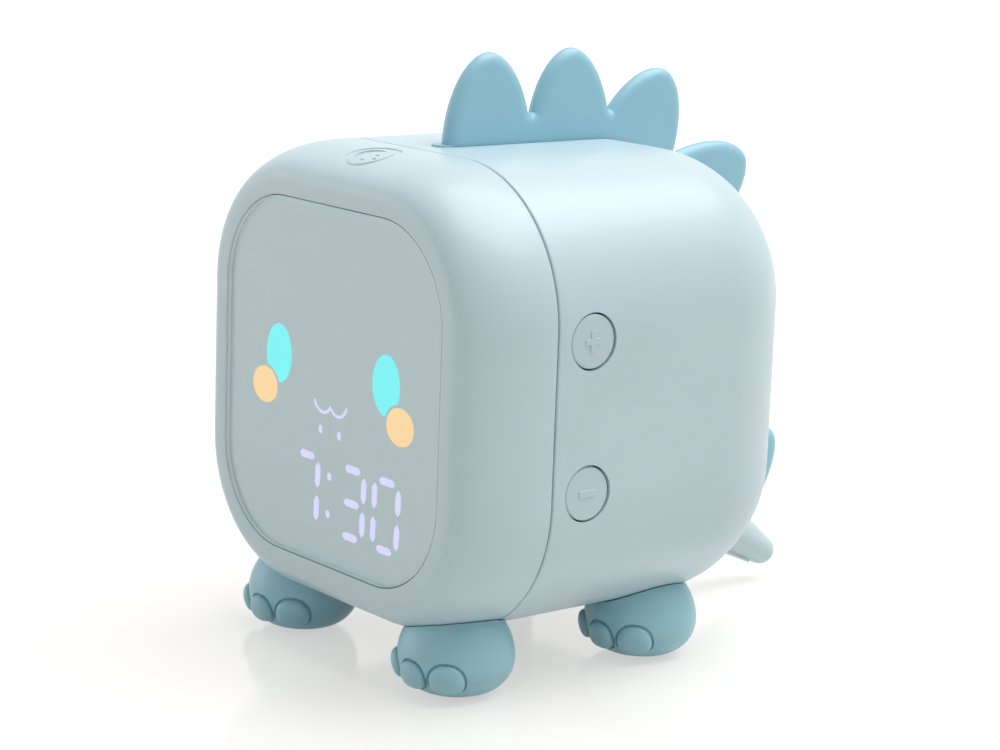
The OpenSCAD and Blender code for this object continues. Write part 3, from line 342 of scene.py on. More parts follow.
# %% Lathe, prism and rounded plate
def lathe(profile, axis, centre, count):
    """A closed surface of revolution: profile rows of (radius, height) turned about an axis
    through centre, the point being centre + r cos a * u + r sin a * v + h * axis."""
    profile = np.asarray(profile, float)
    axis = np.asarray(axis, float) / np.linalg.norm(axis)
    u = np.cross(axis, [0, 0, 1] if abs(axis[2]) < 0.9 else [1, 0, 0])
    u /= np.linalg.norm(u)
    v = np.cross(axis, u)
    a = once_round(count)
    ring = np.cos(a)[:, None] * u + np.sin(a)[:, None] * v
    return tube(np.asarray(centre) + profile[:, None, :1] * ring[None] + profile[:, None, 1:] * axis)


def slab(outline, axis, low, high):
    """A prism: a closed outline in the two other directions, in order, drawn along an axis."""
    outline = np.asarray(outline, float)
    return capped(np.stack([np.insert(outline, axis, level, axis=1) for level in (low, high)]))


def rounded_plate(width, height, radius, centre=(0, 0)):
    """Outline of a rounded rectangle: four corner centres plus a radius in each direction."""
    a = np.radians(np.linspace(0, 90, 9))
    arc, quarter_turn = radius * circle(a), np.array([[0, -1], [1, 0]])
    out = []
    for k, (sx, sz) in enumerate([(1, 1), (-1, 1), (-1, -1), (1, -1)]):
        spin = np.linalg.matrix_power(quarter_turn, k)
        out.append([sx * (width / 2 - radius), sz * (height / 2 - radius)] + arc @ spin.T)
    return np.concatenate(out) + centre


print("plate outline:", len(rounded_plate(2, 1, 0.2)), "points")

# %% [markdown]
# ## Materials as small sums
#
# Moulded plastic is never one flat colour: it clouds a little where it cooled slowly,
# and its skin has the fine grain of the mould. Such a finish is arithmetic on noise. It
# could be wired node by node, but a sum is easier to read than its wires. So a socket
# of a node tree is wrapped in a class that understands + - * and /, and each sign adds
# the Math node that it stands for.

# %% A node tree that can be written as arithmetic
class Value:
    """One output socket. Arithmetic on it adds Math nodes, in either order of the terms."""

    def __init__(self, tree, socket):
        self.tree, self.socket = tree, socket

    def math(self, operation, a, b=0.0, clamp=False):
        return Finish.add(self.tree, "ShaderNodeMath", {"operation": operation, "use_clamp": clamp}, {0: a, 1: b})

    def __add__(self, other): return self.math("ADD", self, other)
    def __radd__(self, other): return self.math("ADD", other, self)
    def __sub__(self, other): return self.math("SUBTRACT", self, other)
    def __rsub__(self, other): return self.math("SUBTRACT", other, self)
    def __mul__(self, other): return self.math("MULTIPLY", self, other)
    def __rmul__(self, other): return self.math("MULTIPLY", other, self)
    def __truediv__(self, other): return self.math("DIVIDE", self, other)
    def clamped(self): return self.math("ADD", self, 0.0, clamp=True)
    def above(self, edge): return self.math("GREATER_THAN", self, edge)
    def unsigned(self): return self.math("ABSOLUTE", self)
    def at_least(self, floor): return self.math("MAXIMUM", self, floor)


class Finish:
    """A material and the one way to add a node to it."""

    def __init__(self, name):
        self.material = bpy.data.materials.new(name)
        self.material.use_nodes = True
        self.tree = self.material.node_tree
        self.tree.nodes.clear()

    @staticmethod
    def add(tree, kind, settings=None, inputs=None, output=0):
        """Adds a node: first its settings, then the values or links of its sockets."""
        node = tree.nodes.new(kind)
        for key, value in (settings or {}).items():
            setattr(node, key, value)
        for key, value in (inputs or {}).items():
            if isinstance(value, Value):
                tree.links.new(value.socket, node.inputs[key])
            else:
                node.inputs[key].default_value = value
        return Value(tree, node.outputs[output]) if len(node.outputs) else None

    def node(self, kind, settings=None, inputs=None, output=0):
        return self.add(self.tree, kind, settings, inputs, output)

    def place(self):
        """The place on the piece, in its own metres."""
        return self.node("ShaderNodeTexCoord", output="Object")

    def noise(self, size, detail=2.0, rough=0.5):
        """Noise between 0 and 1 whose blotches are about size millimetres across."""
        return self.node("ShaderNodeTexNoise", None, {"Vector": self.place(), "Scale": 1 / (size * MM),
                                                      "Detail": detail, "Roughness": rough})

    def mix(self, share, a, b):
        """Colour a where share is 0 and colour b where it is 1."""
        return self.node("ShaderNodeMix", {"data_type": "RGBA"}, {0: share, 6: a, 7: b}, output=2)

    def bump(self, height, deep):
        """A bent normal from a height between 0 and 1 that stands for deep millimetres."""
        return self.node("ShaderNodeBump", None, {"Height": height, "Distance": deep * MM, "Strength": 1.0})

    def close(self, surface):
        self.node("ShaderNodeOutputMaterial", None, {"Surface": surface})
        return self.material


def ink(red, green, blue):
    """Linear colour of a colour that is known by its screen values from 0 to 255."""
    c = np.array([red, green, blue]) / 255
    c = np.where(c > 0.04045, ((c + 0.055) / 1.055) ** 2.4, c / 12.92)
    return (*(float(v) for v in c), 1.0)


print("mid grey in linear light:", round(ink(188, 188, 188)[0], 2))

# %% [markdown]
# ## Moulded plastic
#
# One recipe serves the shells, the fins and the feet: a colour that clouds very
# slightly, a fine spark-eroded skin of a few hundredths of a millimetre, and a
# roughness that wanders with it. A lower roughness alone would make it look wet. So a
# thin clear coat gives the silky shine that such plastic has on its round edges.

# %% Finishes of the plastics
def moulded(name, colour, cloud, rough, coat=0.0):
    """Moulded plastic: the cloud's colour where a broad noise is low, and a roughness that
    is rough, plus a tenth of a fine noise, plus a little of the broad one."""
    f = Finish(name)
    broad, fine = f.noise(26, 3, 0.55), f.noise(0.35, 2, 0.6)
    inputs = {"Base Color": f.mix((broad * 1.6 - 0.3).clamped(), cloud, colour),
              "Roughness": rough + (fine - 0.5) * 0.10 + (broad - 0.5) * 0.06,
              "Normal": f.bump(fine, 0.012), "IOR": 1.49, "Coat Weight": coat, "Coat Roughness": 0.25}
    return f.close(f.node("ShaderNodeBsdfPrincipled", None, inputs))


def plain(name, colour, rough, metal=0.0, cloud=0.92, grain=0.6, skin=0.01):
    """A small part's finish: one colour that darkens a little in patches, over a fine grain."""
    f = Finish(name)
    patch, fine = f.noise(4, 2), f.noise(grain, 2, 0.6)
    dim = tuple(c * cloud for c in colour[:3]) + (1.0,)
    inputs = {"Base Color": f.mix(patch, dim, colour), "Roughness": rough + (fine - 0.5) * 0.12,
              "Metallic": metal, "Normal": f.bump(fine, skin)}
    return f.close(f.node("ShaderNodeBsdfPrincipled", None, inputs))


SHELL = moulded("shell plastic", ink(195, 216, 223), ink(191, 213, 220), 0.42, coat=0.25)
TRIM = moulded("fin plastic", ink(149, 201, 219), ink(144, 197, 216), 0.40, coat=0.25)
FOOT = moulded("foot plastic", ink(156, 205, 217), ink(151, 201, 214), 0.42, coat=0.15)
BUTTON = moulded("button plastic", ink(195, 215, 222), ink(192, 211, 219), 0.40)
print("finishes:", len(bpy.data.materials))

# %% [markdown]
# ## Front shell
#
# The front half of the case is one thin moulding: a soft rim that falls from the
# window's edge to the side, a wall, and a tongue at the seam. A Solidify modifier would
# give it one even thickness, but the rim is thick and the tongue thin. So its closed
# edge profile is carried round the rounded square. The rim is a quarter of an ellipse,
# and the corners that a mould would round are softened, so they catch a line of light.

# %% The front shell's profile and form
def ellipse_rim(step, deep, n):
    """Quarter ellipse from the face to the side: step * (1 - sin t) in, deep * (1 - cos t) deep."""
    t = quarter(n)
    return np.column_stack([step * (1 - np.sin(t)), deep * (1 - np.cos(t))])


FRONT_DEEP = Y_SEAM - HALF_GAP - Y_FACE
FACE_WALL, TONGUE_IN, TONGUE_OUT, SEAM_SOFT = 3.2, 1.2, 2.15, 0.45
rim = ellipse_rim(RIM_IN, RIM_DEEP, 30)
# the window's step: a ledge of two millimetres, 1.4 below the face, under the lens
lens_seat = window_rows(soften([[-2, FACE_WALL], [-2, 1.4], [0.1, 1.4], [0.1, 0], [2.8, 0]], {3: 0.3}, 5)[:-1])
seam_edge = soften([[0, RIM_DEEP], [0, FRONT_DEEP], [TONGUE_IN, FRONT_DEEP]], {1: SEAM_SOFT}, 6)
tongue = [[TONGUE_IN, FRONT_DEEP + TONGUE_OUT], [WALL, FRONT_DEEP + TONGUE_OUT]]
inside = ellipse_rim(RIM_IN, RIM_DEEP - FACE_WALL, 16) + [WALL, FACE_WALL]
outside = np.concatenate([rim[:-1], seam_edge, tongue, inside[::-1]])
front = build("front_shell_moulding", tube(carry(np.concatenate([lens_seat, case_rows(outside)])), ring=True))
print(f"front shell {FRONT_DEEP:.2f} deep")

# %% [markdown]
# ## Touch symbol
#
# On top of the rim a shallow ring with a moon and two stars marks the place to touch.
# It could be a bump in the material, but a bump has no edge to cast a shadow. So it's
# cut from the plastic, and the cutter follows the rim's own curve to stay evenly deep.

# %% Points above the rim, and a moon
TOUCH_DEEP, TOUCH_R, BAND, SUNK = 9.0, 5.7, 1.2, 0.26


def over_rim(x, depth, out):
    """Points out millimetres above the top of the rim: the rim's own ellipse
    z = step * (1 - sqrt(1 - (1 - depth / deep)^2)) below the case's top."""
    share = np.clip(1 - depth / RIM_DEEP, 0, 1)
    z = Z_TOP - RIM_IN * (1 - np.sqrt(1 - share ** 2)) + out
    return np.stack(np.broadcast_arrays(x, Y_FACE + depth, z), -1)


def crescent(outer=3.1, inner=2.5, apart=1.35, count=40, across=5):
    """Grid between the two arcs of a moon: the outer circle's long arc and the arc of a
    smaller circle whose centre lies apart to the right, from horn to horn."""
    x = (apart ** 2 + outer ** 2 - inner ** 2) / (2 * apart)
    y = math.sqrt(outer ** 2 - x ** 2)
    arcs = []
    for radius, shift in ((outer, 0), (inner, apart)):
        horn = math.atan2(y, x - shift)
        a = np.linspace(horn, 2 * np.pi - horn, count)
        arcs.append(radius * circle(a) + [shift, 0])
    v = np.linspace(0, 1, across)[:, None, None]
    return (arcs[0] * (1 - v) + arcs[1] * v).transpose(1, 0, 2)


print("moon:", crescent().shape[:2], "points")

# %% The symbol sunk into the rim's top
a = once_round(120)[:, None]
section = np.array([[TOUCH_R - BAND, -SUNK], [TOUCH_R, -SUNK], [TOUCH_R + 0.3, 0.5], [TOUCH_R - BAND - 0.3, 0.5]])
band = over_rim(section[:, 0] * np.cos(a), TOUCH_DEEP + section[:, 0] * np.sin(a), section[:, 1])
moon_x, moon_deep = crescent()[..., 0] - 0.5, TOUCH_DEEP + crescent()[..., 1]
moon = np.concatenate([over_rim(moon_x, moon_deep, -SUNK), over_rim(moon_x, moon_deep, 0.6)[:, ::-1]], 1)
peg = [[0, -0.6], [0.42, -0.6], [0.42, 0.6], [0, 0.6]]
stars = [lathe(peg, [0, 0, 1], over_rim(x, TOUCH_DEEP + y, SUNK), 16) for x, y in ((1.6, 0.2), (2.9, -1.5))]
symbol = build("symbol", join([tube(band, ring=True), tube(moon), *stars]))
finish_piece(cut(front, symbol), SHELL, replaces=["front_shell"])

# %% [markdown]
# ## Rear shell
#
# The rear half is a bowl with a large round edge. It is carried the same way, inside
# and outside, and both surfaces close at the middle of the back. Its openings are cut
# afterwards: four button holes, the comb's slot, the socket and the switch, and the
# holes for sound and screws underneath. A grid could be woven round so many openings,
# but an exact Boolean leaves the curved wall as smooth as it was.

# %% The rear shell's bowl
REAR_DEEP = Y_SEAM + HALF_GAP - Y_FACE
DEEP = Y_BACK - Y_FACE


def round_edge(step, n):
    """The back's quarter circle: step + r * (1 - cos t) in from the side and
    step + r * (1 - sin t) short of the back, where r is the edge's radius less the step."""
    t, r = quarter(n), REAR_R - step
    return np.column_stack([step + r * (1 - np.cos(t)), DEEP - step - r * (1 - np.sin(t))])


GROOVE_IN, GROOVE_DEEP = 1.1, 1.95      # room for the front shell's tongue
mouth = soften([[0, REAR_DEEP + 2], [0, REAR_DEEP], [GROOVE_IN, REAR_DEEP], [GROOVE_IN, REAR_DEEP + GROOVE_DEEP],
                [WALL, REAR_DEEP + GROOVE_DEEP]], {1: SEAM_SOFT}, 6)
round_out = round_edge(0, 30)
side = np.insert(np.linspace(DEEP - REAR_R, REAR_DEEP + 2, 10)[1:-1, None], 0, 0, axis=1)
outer = case_rows(np.concatenate([round_out[::-1], side]))
inner = case_rows(np.concatenate([mouth, round_edge(WALL, 18)]))
rear = build("rear_shell_moulding", tube(carry(closed(np.concatenate([outer, inner]), 5))))
print(f"rear shell {DEEP - REAR_DEEP:.2f} deep")

# %% The comb's slot, which follows the back
BACK_Y, BACK_Z = Y_BACK - REAR_R, Z_TOP - REAR_R    # the centre of the back's round edge
COMB_Y, COMB_Z = BACK_Y - 37.0, 36.9                # where the comb starts on top, and ends behind
SLOT_HALF, END_GAP = 2.24, 0.1                      # half the slot's width, and the comb's play at the ends


def slot(deep, half):
    """The comb's slot: a rectangle from 2 mm outside the wall to deep inside it, carried
    over the top, round the edge and down the back. At both ends it narrows to a half
    circle: half * sin t to either side at half * (1 - cos t) from the end, about the
    centre that the round end of the comb has."""
    t, a = np.maximum(quarter(10), 0.05), quarter(20)
    run, wide = SLOT_HALF - END_GAP - half * np.cos(t), half * np.sin(t)
    turn = circle(a)[:, ::-1]
    line = np.concatenate([np.insert(COMB_Y + run[:, None], 1, Z_TOP, axis=1), [BACK_Y, BACK_Z] + REAR_R * turn,
                           np.insert(COMB_Z + run[::-1, None], 0, Y_BACK, axis=1)])
    out = np.concatenate([np.tile([0, 1], (10, 1)), turn, np.tile([1, 0], (10, 1))])
    wide = np.concatenate([wide, np.full(20, half), wide[::-1]])
    corners = ((-2, -1), (-2, 1), (deep, 1), (deep, -1))
    return capped(np.stack([np.column_stack([sign * wide, line - out * step]) for step, sign in corners], 1))


print(f"the slot runs from y = {COMB_Y:.1f} on top to z = {COMB_Z:.1f} behind")

# %% Cutters for the rear shell's openings
BUTTON_Y = middle("plus_button")[1]
BUTTON_Z = [middle(name)[2] for name in ("plus_button", "minus_button")]
PORT_X, PORT_Z, KNOB_Z = 15.0, middle("charging_socket")[2], middle("switch_knob")[2]
SCREW_X, SCREW_Y = 9, middle("case_screws")[1]
SOUND_Y, SOUND_STEP = middle("speaker_cone")[1], 4.2

HOLE_R = 5.43
bore = [[0, 36], [HOLE_R, 36], [HOLE_R, 50], [0, 50]]
cutters = [lathe(bore, [sign, 0, 0], [0, BUTTON_Y, z], 64) for z in BUTTON_Z for sign in (1, -1)]
cutters.append(slot(WALL + 1, SLOT_HALF))
# the socket's and the switch's holes: width, height and corner radius, then the place
for plate in (rounded_plate(9.4, 3.7, 1.84, (PORT_X, PORT_Z)), rounded_plate(6.4, 2.6, 0.6, (-PORT_X, KNOB_Z))):
    cutters.append(slab(plate, 1, Y_BACK - 4, Y_BACK + 2))


def from_below(profile):
    """A cutter's profile of (radius, height above the case's underside)."""
    return np.asarray(profile, float) + [0, Z_LOW]


recess = from_below([[0, -2], [2.5, -2], [2.5, -0.001], [2.2, 0.3], [2.2, 1.2], [1.3, 1.2], [1.3, 4], [0, 4]])
cutters += [lathe(recess, [0, 0, 1], [x, SCREW_Y, 0], 40) for x in (-SCREW_X, SCREW_X)]
sound_hole = from_below([[0, -1], [1.25, -1], [1.15, -0.001], [0.9, 0.25], [0.9, 4], [0, 4]])
spots = [(0, 0)] + [(SOUND_STEP * ring, math.radians(60 / ring * k)) for ring in (1, 2, 3) for k in range(6 * ring)]
cutters += [lathe(sound_hole, [0, 0, 1], [r * math.cos(a), SOUND_Y + r * math.sin(a), 0], 20) for r, a in spots]
rear = cut(rear, build("openings", join(cutters)))
# a step round the slot, 0.35 deep and 0.31 wider on either side, as a mould leaves it
rear = cut(rear, build("slot_edge", slot(0.35, 2.55)))
finish_piece(rear, SHELL, replaces=["rear_shell"])
print("openings cut:", len(cutters))

# %% [markdown]
# ## Buttons
#
# Four round caps sit in holes of the side walls, each on its own body, because each
# moves on its own. A cap has a soft edge and a raised sign, and behind the wall a
# flange that keeps it in and a stem that works the switch. All of it is one profile on
# a lathe, and the signs are joined to it, so no seam shows where they stand on the cap.

# %% A button cap and the bars of its sign
CAP_R, FACE_X, SIGN_X = 5.1, HALF_W - 0.23, HALF_W - 0.01
SIGN_ROOT = FACE_X - 0.4
FLANGE_R, FLANGE_OUT, FLANGE_IN = 6.3, HALF_W - 2.95, HALF_W - 4.15
STEM_R, STEM_END = 1.6, HALF_W - 5.65


def bar_sign(width, height, radius):
    """A sign's bar: straight sides from inside the cap, then a small slope to its top."""
    layers = [rounded_plate(width - s, height - s, radius - s / 2) for s in (0, 0, 0.2)]
    levels = [SIGN_ROOT, SIGN_X - 0.1, SIGN_X]
    return capped(np.stack([np.insert(p, 0, x, axis=1) for p, x in zip(layers, levels)]))


def button(node, body, side_sign, z, signs):
    """A cap at a height on one side: a lathe with the signs added, mirrored for the left."""
    profile = soften([[0, STEM_END], [STEM_R, STEM_END], [STEM_R, FLANGE_IN], [FLANGE_R, FLANGE_IN],
                      [FLANGE_R, FLANGE_OUT], [CAP_R, FLANGE_OUT], [CAP_R, FACE_X], [0, FACE_X]],
                     {3: 0.2, 4: 0.2, 6: 0.42}, 8)
    cap = build(node + "_moulding", lathe(profile, [1, 0, 0], [0, 0, 0], 96))
    cap = cut(cap, *[build("sign", sign) for sign in signs], how="UNION")
    flip = np.diag([side_sign, 1.0, 1.0, 1.0])
    flip[1:3, 3] = BUTTON_Y * MM, z * MM
    cap.data.transform(Matrix(flip.tolist()))
    if side_sign < 0:
        cap.data.flip_normals()
    finish_piece(cap, BUTTON, body, replaces=[node])


print(f"cap {2 * CAP_R:.1f} across in a hole of {2 * HOLE_R:.2f}")

# %% The four buttons: plus and minus on the right, a ring and a dot on the left
upper, lower = BUTTON_Z
ring = soften([[1.15, SIGN_ROOT], [1.85, SIGN_ROOT], [1.85, SIGN_X], [1.15, SIGN_X]], {2: 0.15, 3: 0.15}, 4)
ring = tube(lathe(ring, [1, 0, 0], [0, 0, 0], 64)[0], ring=True)
dot = soften([[0, SIGN_ROOT], [1.1, SIGN_ROOT], [1.1, SIGN_X], [0, SIGN_X]], {2: 0.3}, 5)
dot = lathe(dot, [1, 0, 0], [0, 0, 0], 48)
button("plus_button", "plus_key", 1, upper, [bar_sign(3.9, 1.25, 0.45), bar_sign(1.25, 4.1, 0.45)])
button("minus_button", "minus_key", 1, lower, [bar_sign(4.0, 1.4, 0.35)])
button("mode_button", "mode_key", -1, upper, [ring])
button("alarm_button", "alarm_key", -1, lower, [dot])

# %% [markdown]
# ## Spine comb and tail fin
#
# The comb is a soft moulding four millimetres thick with a fully rounded edge. A flat
# curve with a bevel would fold over itself in the valleys between the spines. So the
# mesh follows the outline: each column starts there, goes inwards over the round edge
# and then down to the root inside the wall. Where two spines meet, the columns fan out
# round the valley, which gives the small soft dimple that such a moulding has there.

# %% One spine, and its place on the back
SPINE_POWER, SPINE_POINTS = 1.85, 150
# place along the back from the start of its round edge, lean in degrees, width, height
SPINES = [(-26.5, 0, 21.0, 17.8), (-5.9, 0, 21.0, 18.2), (11.8, 0, 21.0, 17.8),
          (29.8, 7.5, 22.2, 22.5), (48.5, 6, 21.0, 21.0), (66.8, 4, 20.0, 19.0)]
VALLEY = 5.8        # height of the band that the spines grow from


def spine_edge(width, height):
    """Upper half of a rounded arch: x = w/2 sign(cos t)|cos t|^(2/p), y = h |sin t|^(2/p)."""
    c, s = circle(np.linspace(np.pi, 0, SPINE_POINTS)).T
    power = 2 / SPINE_POWER
    return np.column_stack([width / 2 * np.sign(c) * np.abs(c) ** power, height * np.abs(s) ** power])


def turned(angle):
    """The matrix that turns Y-Z points by an angle in radians."""
    return np.array([[math.cos(angle), -math.sin(angle)], [math.sin(angle), math.cos(angle)]])


def back_place(s, lean):
    """Foot point and turn of a spine that stands s along the back from the edge's start."""
    turn = min(max(s / REAR_R, 0), np.pi / 2)
    down = max(s - REAR_R * np.pi / 2, 0)
    foot = np.array([BACK_Y + min(s, 0) + REAR_R * math.sin(turn), BACK_Z + REAR_R * math.cos(turn) - down])
    return foot, turned(math.radians(lean) - turn)


print("spines:", len(SPINES))


# %% The comb's outline
def height_over_back(p):
    """Distance of Y-Z points from the case's back, positive outside."""
    out = np.hypot(np.maximum(p[:, 0] - BACK_Y, 0), np.maximum(p[:, 1] - BACK_Z, 0)) - REAR_R
    flat = np.where(p[:, 0] <= BACK_Y, p[:, 1] - Z_TOP, p[:, 0] - Y_BACK)
    return np.where((p[:, 0] > BACK_Y) & (p[:, 1] > BACK_Z), out, flat)


def in_spine(p, spine):
    """True for points in a spine, or a little below it: |2x/w|^p + |y/h|^p < 1 in its frame."""
    foot, turn = back_place(spine[0], spine[1])
    q = (p - foot) @ turn
    up = np.maximum(q[:, 1], 0)
    return (np.abs(2 * q[:, 0] / spine[2]) ** SPINE_POWER + (up / spine[3]) ** SPINE_POWER < 1) & (q[:, 1] > -3)


def comb_edge():
    """Outline of all the spines and the band they grow from, in order from the front end
    to the lower end: each spine's arch without what lies in its neighbours or in the
    band. Straight steps between the pieces are the floors of the valleys. The outer
    flanks of the first and the last spine go on into the slot."""
    out = []
    for k, spine in enumerate(SPINES):
        foot, turn = back_place(spine[0], spine[1])
        p = spine_edge(spine[2], spine[3]) @ turn.T + foot
        keep = height_over_back(p) > VALLEY
        keep[:SPINE_POINTS // 2] |= k == 0
        keep[SPINE_POINTS // 2:] |= k == len(SPINES) - 1
        for other in SPINES[:k] + SPINES[k + 1:]:
            keep &= ~in_spine(p, other)
        out.append(p[keep])
    out[0] = np.concatenate([[out[0][0] - [0.08, 1.5]], out[0]])
    out[-1] = np.concatenate([out[-1], [out[-1][-1] - [1.5, 0.08]]])
    return out


print("points of the six arches:", [len(p) for p in comb_edge()])

# %% Columns from the outline over the round edge to the root
EDGE_DEEP, HALF_T, EDGE_STEP = 2.6, 2.0, 0.45


def even(path):
    """The same open path with points at equal steps along it."""
    far = np.concatenate([[0], np.cumsum(np.linalg.norm(np.diff(path, axis=0), axis=1))])
    count = max(int(far[-1] / EDGE_STEP), 2)
    at = np.linspace(0, far[-1], count + 1)
    return np.column_stack([np.interp(at, far, path[:, k]) for k in range(2)])


def inward(path):
    """Unit normals to the right of a path's direction of travel."""
    d = np.gradient(path, axis=0)
    d /= np.linalg.norm(d, axis=1)[:, None]
    return np.column_stack([d[:, 1], -d[:, 0]])


def fanned(pieces, fan=7):
    """Columns of a rounded edge: points and inward normals of each piece of an outline,
    and in each valley between two pieces a fan of normals that turns from one to the
    next, over points that dip by 1.2 * gap * share * (1 - share)."""
    points, ways = [], []
    for piece in pieces:
        p = even(piece)
        n = inward(p)
        if points:
            a, b = ways[-1][-1], n[0]
            share = np.linspace(0, 1, fan + 2)[1:-1, None]
            w = a * (1 - share) + b * share
            w /= np.linalg.norm(w, axis=1)[:, None]
            dip = 1.2 * np.linalg.norm(p[0] - points[-1][-1]) * share * (1 - share)
            points.append(points[-1][-1] * (1 - share) + p[0] * share + w * dip)
            ways.append(w)
        points.append(p)
        ways.append(n)
    return np.concatenate(points), np.concatenate(ways)


def round_edged(edge, ways, root, steps=9, rows=6):
    """A slab with a fully rounded edge. Row j lies EDGE_DEEP (1 - cos a) inside the
    outline and HALF_T sin a to the side, for a from 0 to a right angle; the last rows go
    straight on to the root line. Both sides share the outline's row; the root and the two
    end columns are closed."""
    a = quarter(steps)
    step, side = EDGE_DEEP * (1 - np.cos(a)), HALF_T * np.sin(a)
    flat = edge[None] + step[:, None, None] * ways[None]
    share = np.linspace(0, 1, rows + 1)[1:, None, None]
    sheet = np.concatenate([flat, flat[-1][None] * (1 - share) + root[None] * share])
    x = np.concatenate([side, np.full(rows, HALF_T)])[:, None, None] * np.ones_like(sheet[..., :1])
    half = np.concatenate([x, sheet], -1)
    whole = np.concatenate([half[::-1], (half * [-1, 1, 1])[1:]])
    count, width = whole.shape[:2]
    ends = [[row * width for row in range(count)], [row * width - 1 for row in range(count, 0, -1)]]
    return whole, quads(count, width, loop_rows=True).tolist() + ends


edge, ways = fanned(comb_edge())
print("columns of the comb:", len(edge))

# %% The comb and its lip
ROOT_DEEP = 1.5
under = edge + ways * EDGE_DEEP
lift = np.maximum(height_over_back(under) + ROOT_DEEP, 0.1)
# straight down to a line in the wall: along Z on top, along Y behind, to the edge's centre between
turn = np.arctan2(np.maximum(under[:, 0] - BACK_Y, 0), np.maximum(under[:, 1] - BACK_Z, 1e-9))
turn = np.where(under[:, 1] <= BACK_Z, np.pi / 2, np.clip(turn, 0, np.pi / 2))
root = under - lift[:, None] * circle(turn)[:, ::-1]
comb = build("spine_comb_moulding", round_edged(edge, ways, root))
# a thin lip of the comb lies on the case ahead of the first spine, short of the seam
lip_start, lip_end = max(COMB_Y - 2.0, Y_SEAM + 0.7), COMB_Y + 4
lip = rounded_plate(3.9, lip_end - lip_start, 1.4, (0, (lip_end + lip_start) / 2))
comb = cut(comb, build("lip", slab(lip, 2, Z_TOP + 0.02, Z_TOP + 0.34)), how="UNION")
print(f"comb starts at y = {COMB_Y:.2f}, its lip at {lip_start:.2f}")
finish_piece(comb, TRIM, replaces=["spine_comb"], crease=50)

# %% [markdown]
# ## Tail
#
# The tail is a cone that runs into a round tip. A cone and a ball put together would
# show their joint in a highlight, so it is one lathe about its own leaning axis. Its
# thick end goes on a little way into the case, so there is no gap to see. A low strip
# runs along its underside. The fin on its back has the same rounded edge as the comb.

# %% The tail's cone and the strip under it
TIP_R, THICK_R, TAIL_L, SLOPE = 3.2, 8.9, 40.0, math.radians(31)
TIP = np.array([0.0, node_box("tail")[1][1] - TIP_R, 6.65])
tail_way = np.array([0.0, math.cos(SLOPE), -math.sin(SLOPE)])
flare = math.asin((THICK_R - TIP_R) / TAIL_L)
normal = circle(flare)
a = np.linspace(flare, np.pi / 2, 22)
share = np.linspace(0, 1, 34)[:, None]
thick, thin = THICK_R * normal - [0, TAIL_L], TIP_R * normal
tip = TIP_R * circle(a)[1:]
profile = np.concatenate([[thick * [0, 1]], thick * (1 - share) + thin * share, tip])
profile[-1, 0] = 0
tail = build("tail_moulding", lathe(profile, tail_way, TIP, 96))


def keel(first=-34.0, last=-1.6, wide=24.0, out=0.4, taper=3):
    """A low strip on the tail's underside: rows along the cone, each an arc that is wide
    degrees to either side and narrows to a round end over its last few millimetres."""
    side, under = np.array([1.0, 0, 0]), np.cross(tail_way, [1.0, 0, 0])
    rows = []
    for h in np.append(np.linspace(first, last - taper, 14), last - taper + taper * np.sin(quarter(10))[1:]):
        half = math.radians(wide) * math.sqrt(max(1 - max((h - last + taper) / taper, 0) ** 2, 0.0004))
        r = TIP_R * math.cos(flare) + (TIP_R * math.sin(flare) - h) * math.tan(flare)
        b = np.linspace(-half, half, 13)[:, None]
        arc = np.sin(b) * side + np.cos(b) * under
        rows.append(TIP + h * tail_way + np.concatenate([arc * (r + out), arc[::-1] * (r - 0.6)]))
    return capped(np.stack(rows))


finish_piece(cut(tail, build("keel", keel()), how="UNION"), SHELL, replaces=["tail"])

# %% The tail fin
FIN_BACK, FIN_W, FIN_H, FIN_LEAN = 17.5, 17.0, 18.5, math.radians(-5)
FIN_ROOT = 2.2
on_tail = turned(-(SLOPE + flare))
fin_edge = np.concatenate([[[-FIN_W / 2, -1.8]], spine_edge(FIN_W, FIN_H), [[FIN_W / 2, -1.2]]])
fin_edge = even((fin_edge @ turned(FIN_LEAN).T + [-FIN_BACK, TIP_R]) @ on_tail.T + TIP[1:])
fin_ways = inward(fin_edge)
fin_foot = np.array([-FIN_BACK, TIP_R - FIN_ROOT]) @ on_tail.T + TIP[1:]
along = (fin_edge + fin_ways * EDGE_DEEP - fin_foot) @ on_tail
fin_root = fin_foot + along * [1, 0] @ on_tail.T
fin = build("tail_fin_moulding", round_edged(fin_edge, fin_ways, fin_root))
finish_piece(fin, TRIM, replaces=["tail_fin"], crease=50)

# %% [markdown]
# ## Feet
#
# Each foot is a squat ball on a broad rounded edge, turned on a lathe. Three toes stand
# on its front as soft domes, each with a groove round it. They could be sculpted, but a
# formula lays the same three on every foot. The case's own form, grown by a fifth of a
# millimetre, is cut out of the foot's top, which leaves the thin dark line where a foot
# meets the case.

# %% The ball of a foot
FOOT_R, FOOT_ROUND, PAD_OUT = 11.2, 6.7, 0.4
low = quarter(14)
top = np.radians(np.linspace(0, 80, 26))[1:]
ball = np.concatenate([
    [[0, PAD_OUT], [(FOOT_R - FOOT_ROUND) * 0.5, PAD_OUT]],
    np.column_stack([FOOT_R - FOOT_ROUND + FOOT_ROUND * np.sin(low), PAD_OUT + FOOT_ROUND * (1 - np.cos(low))]),
    FOOT_R * circle(top) + [0, PAD_OUT + FOOT_ROUND]])


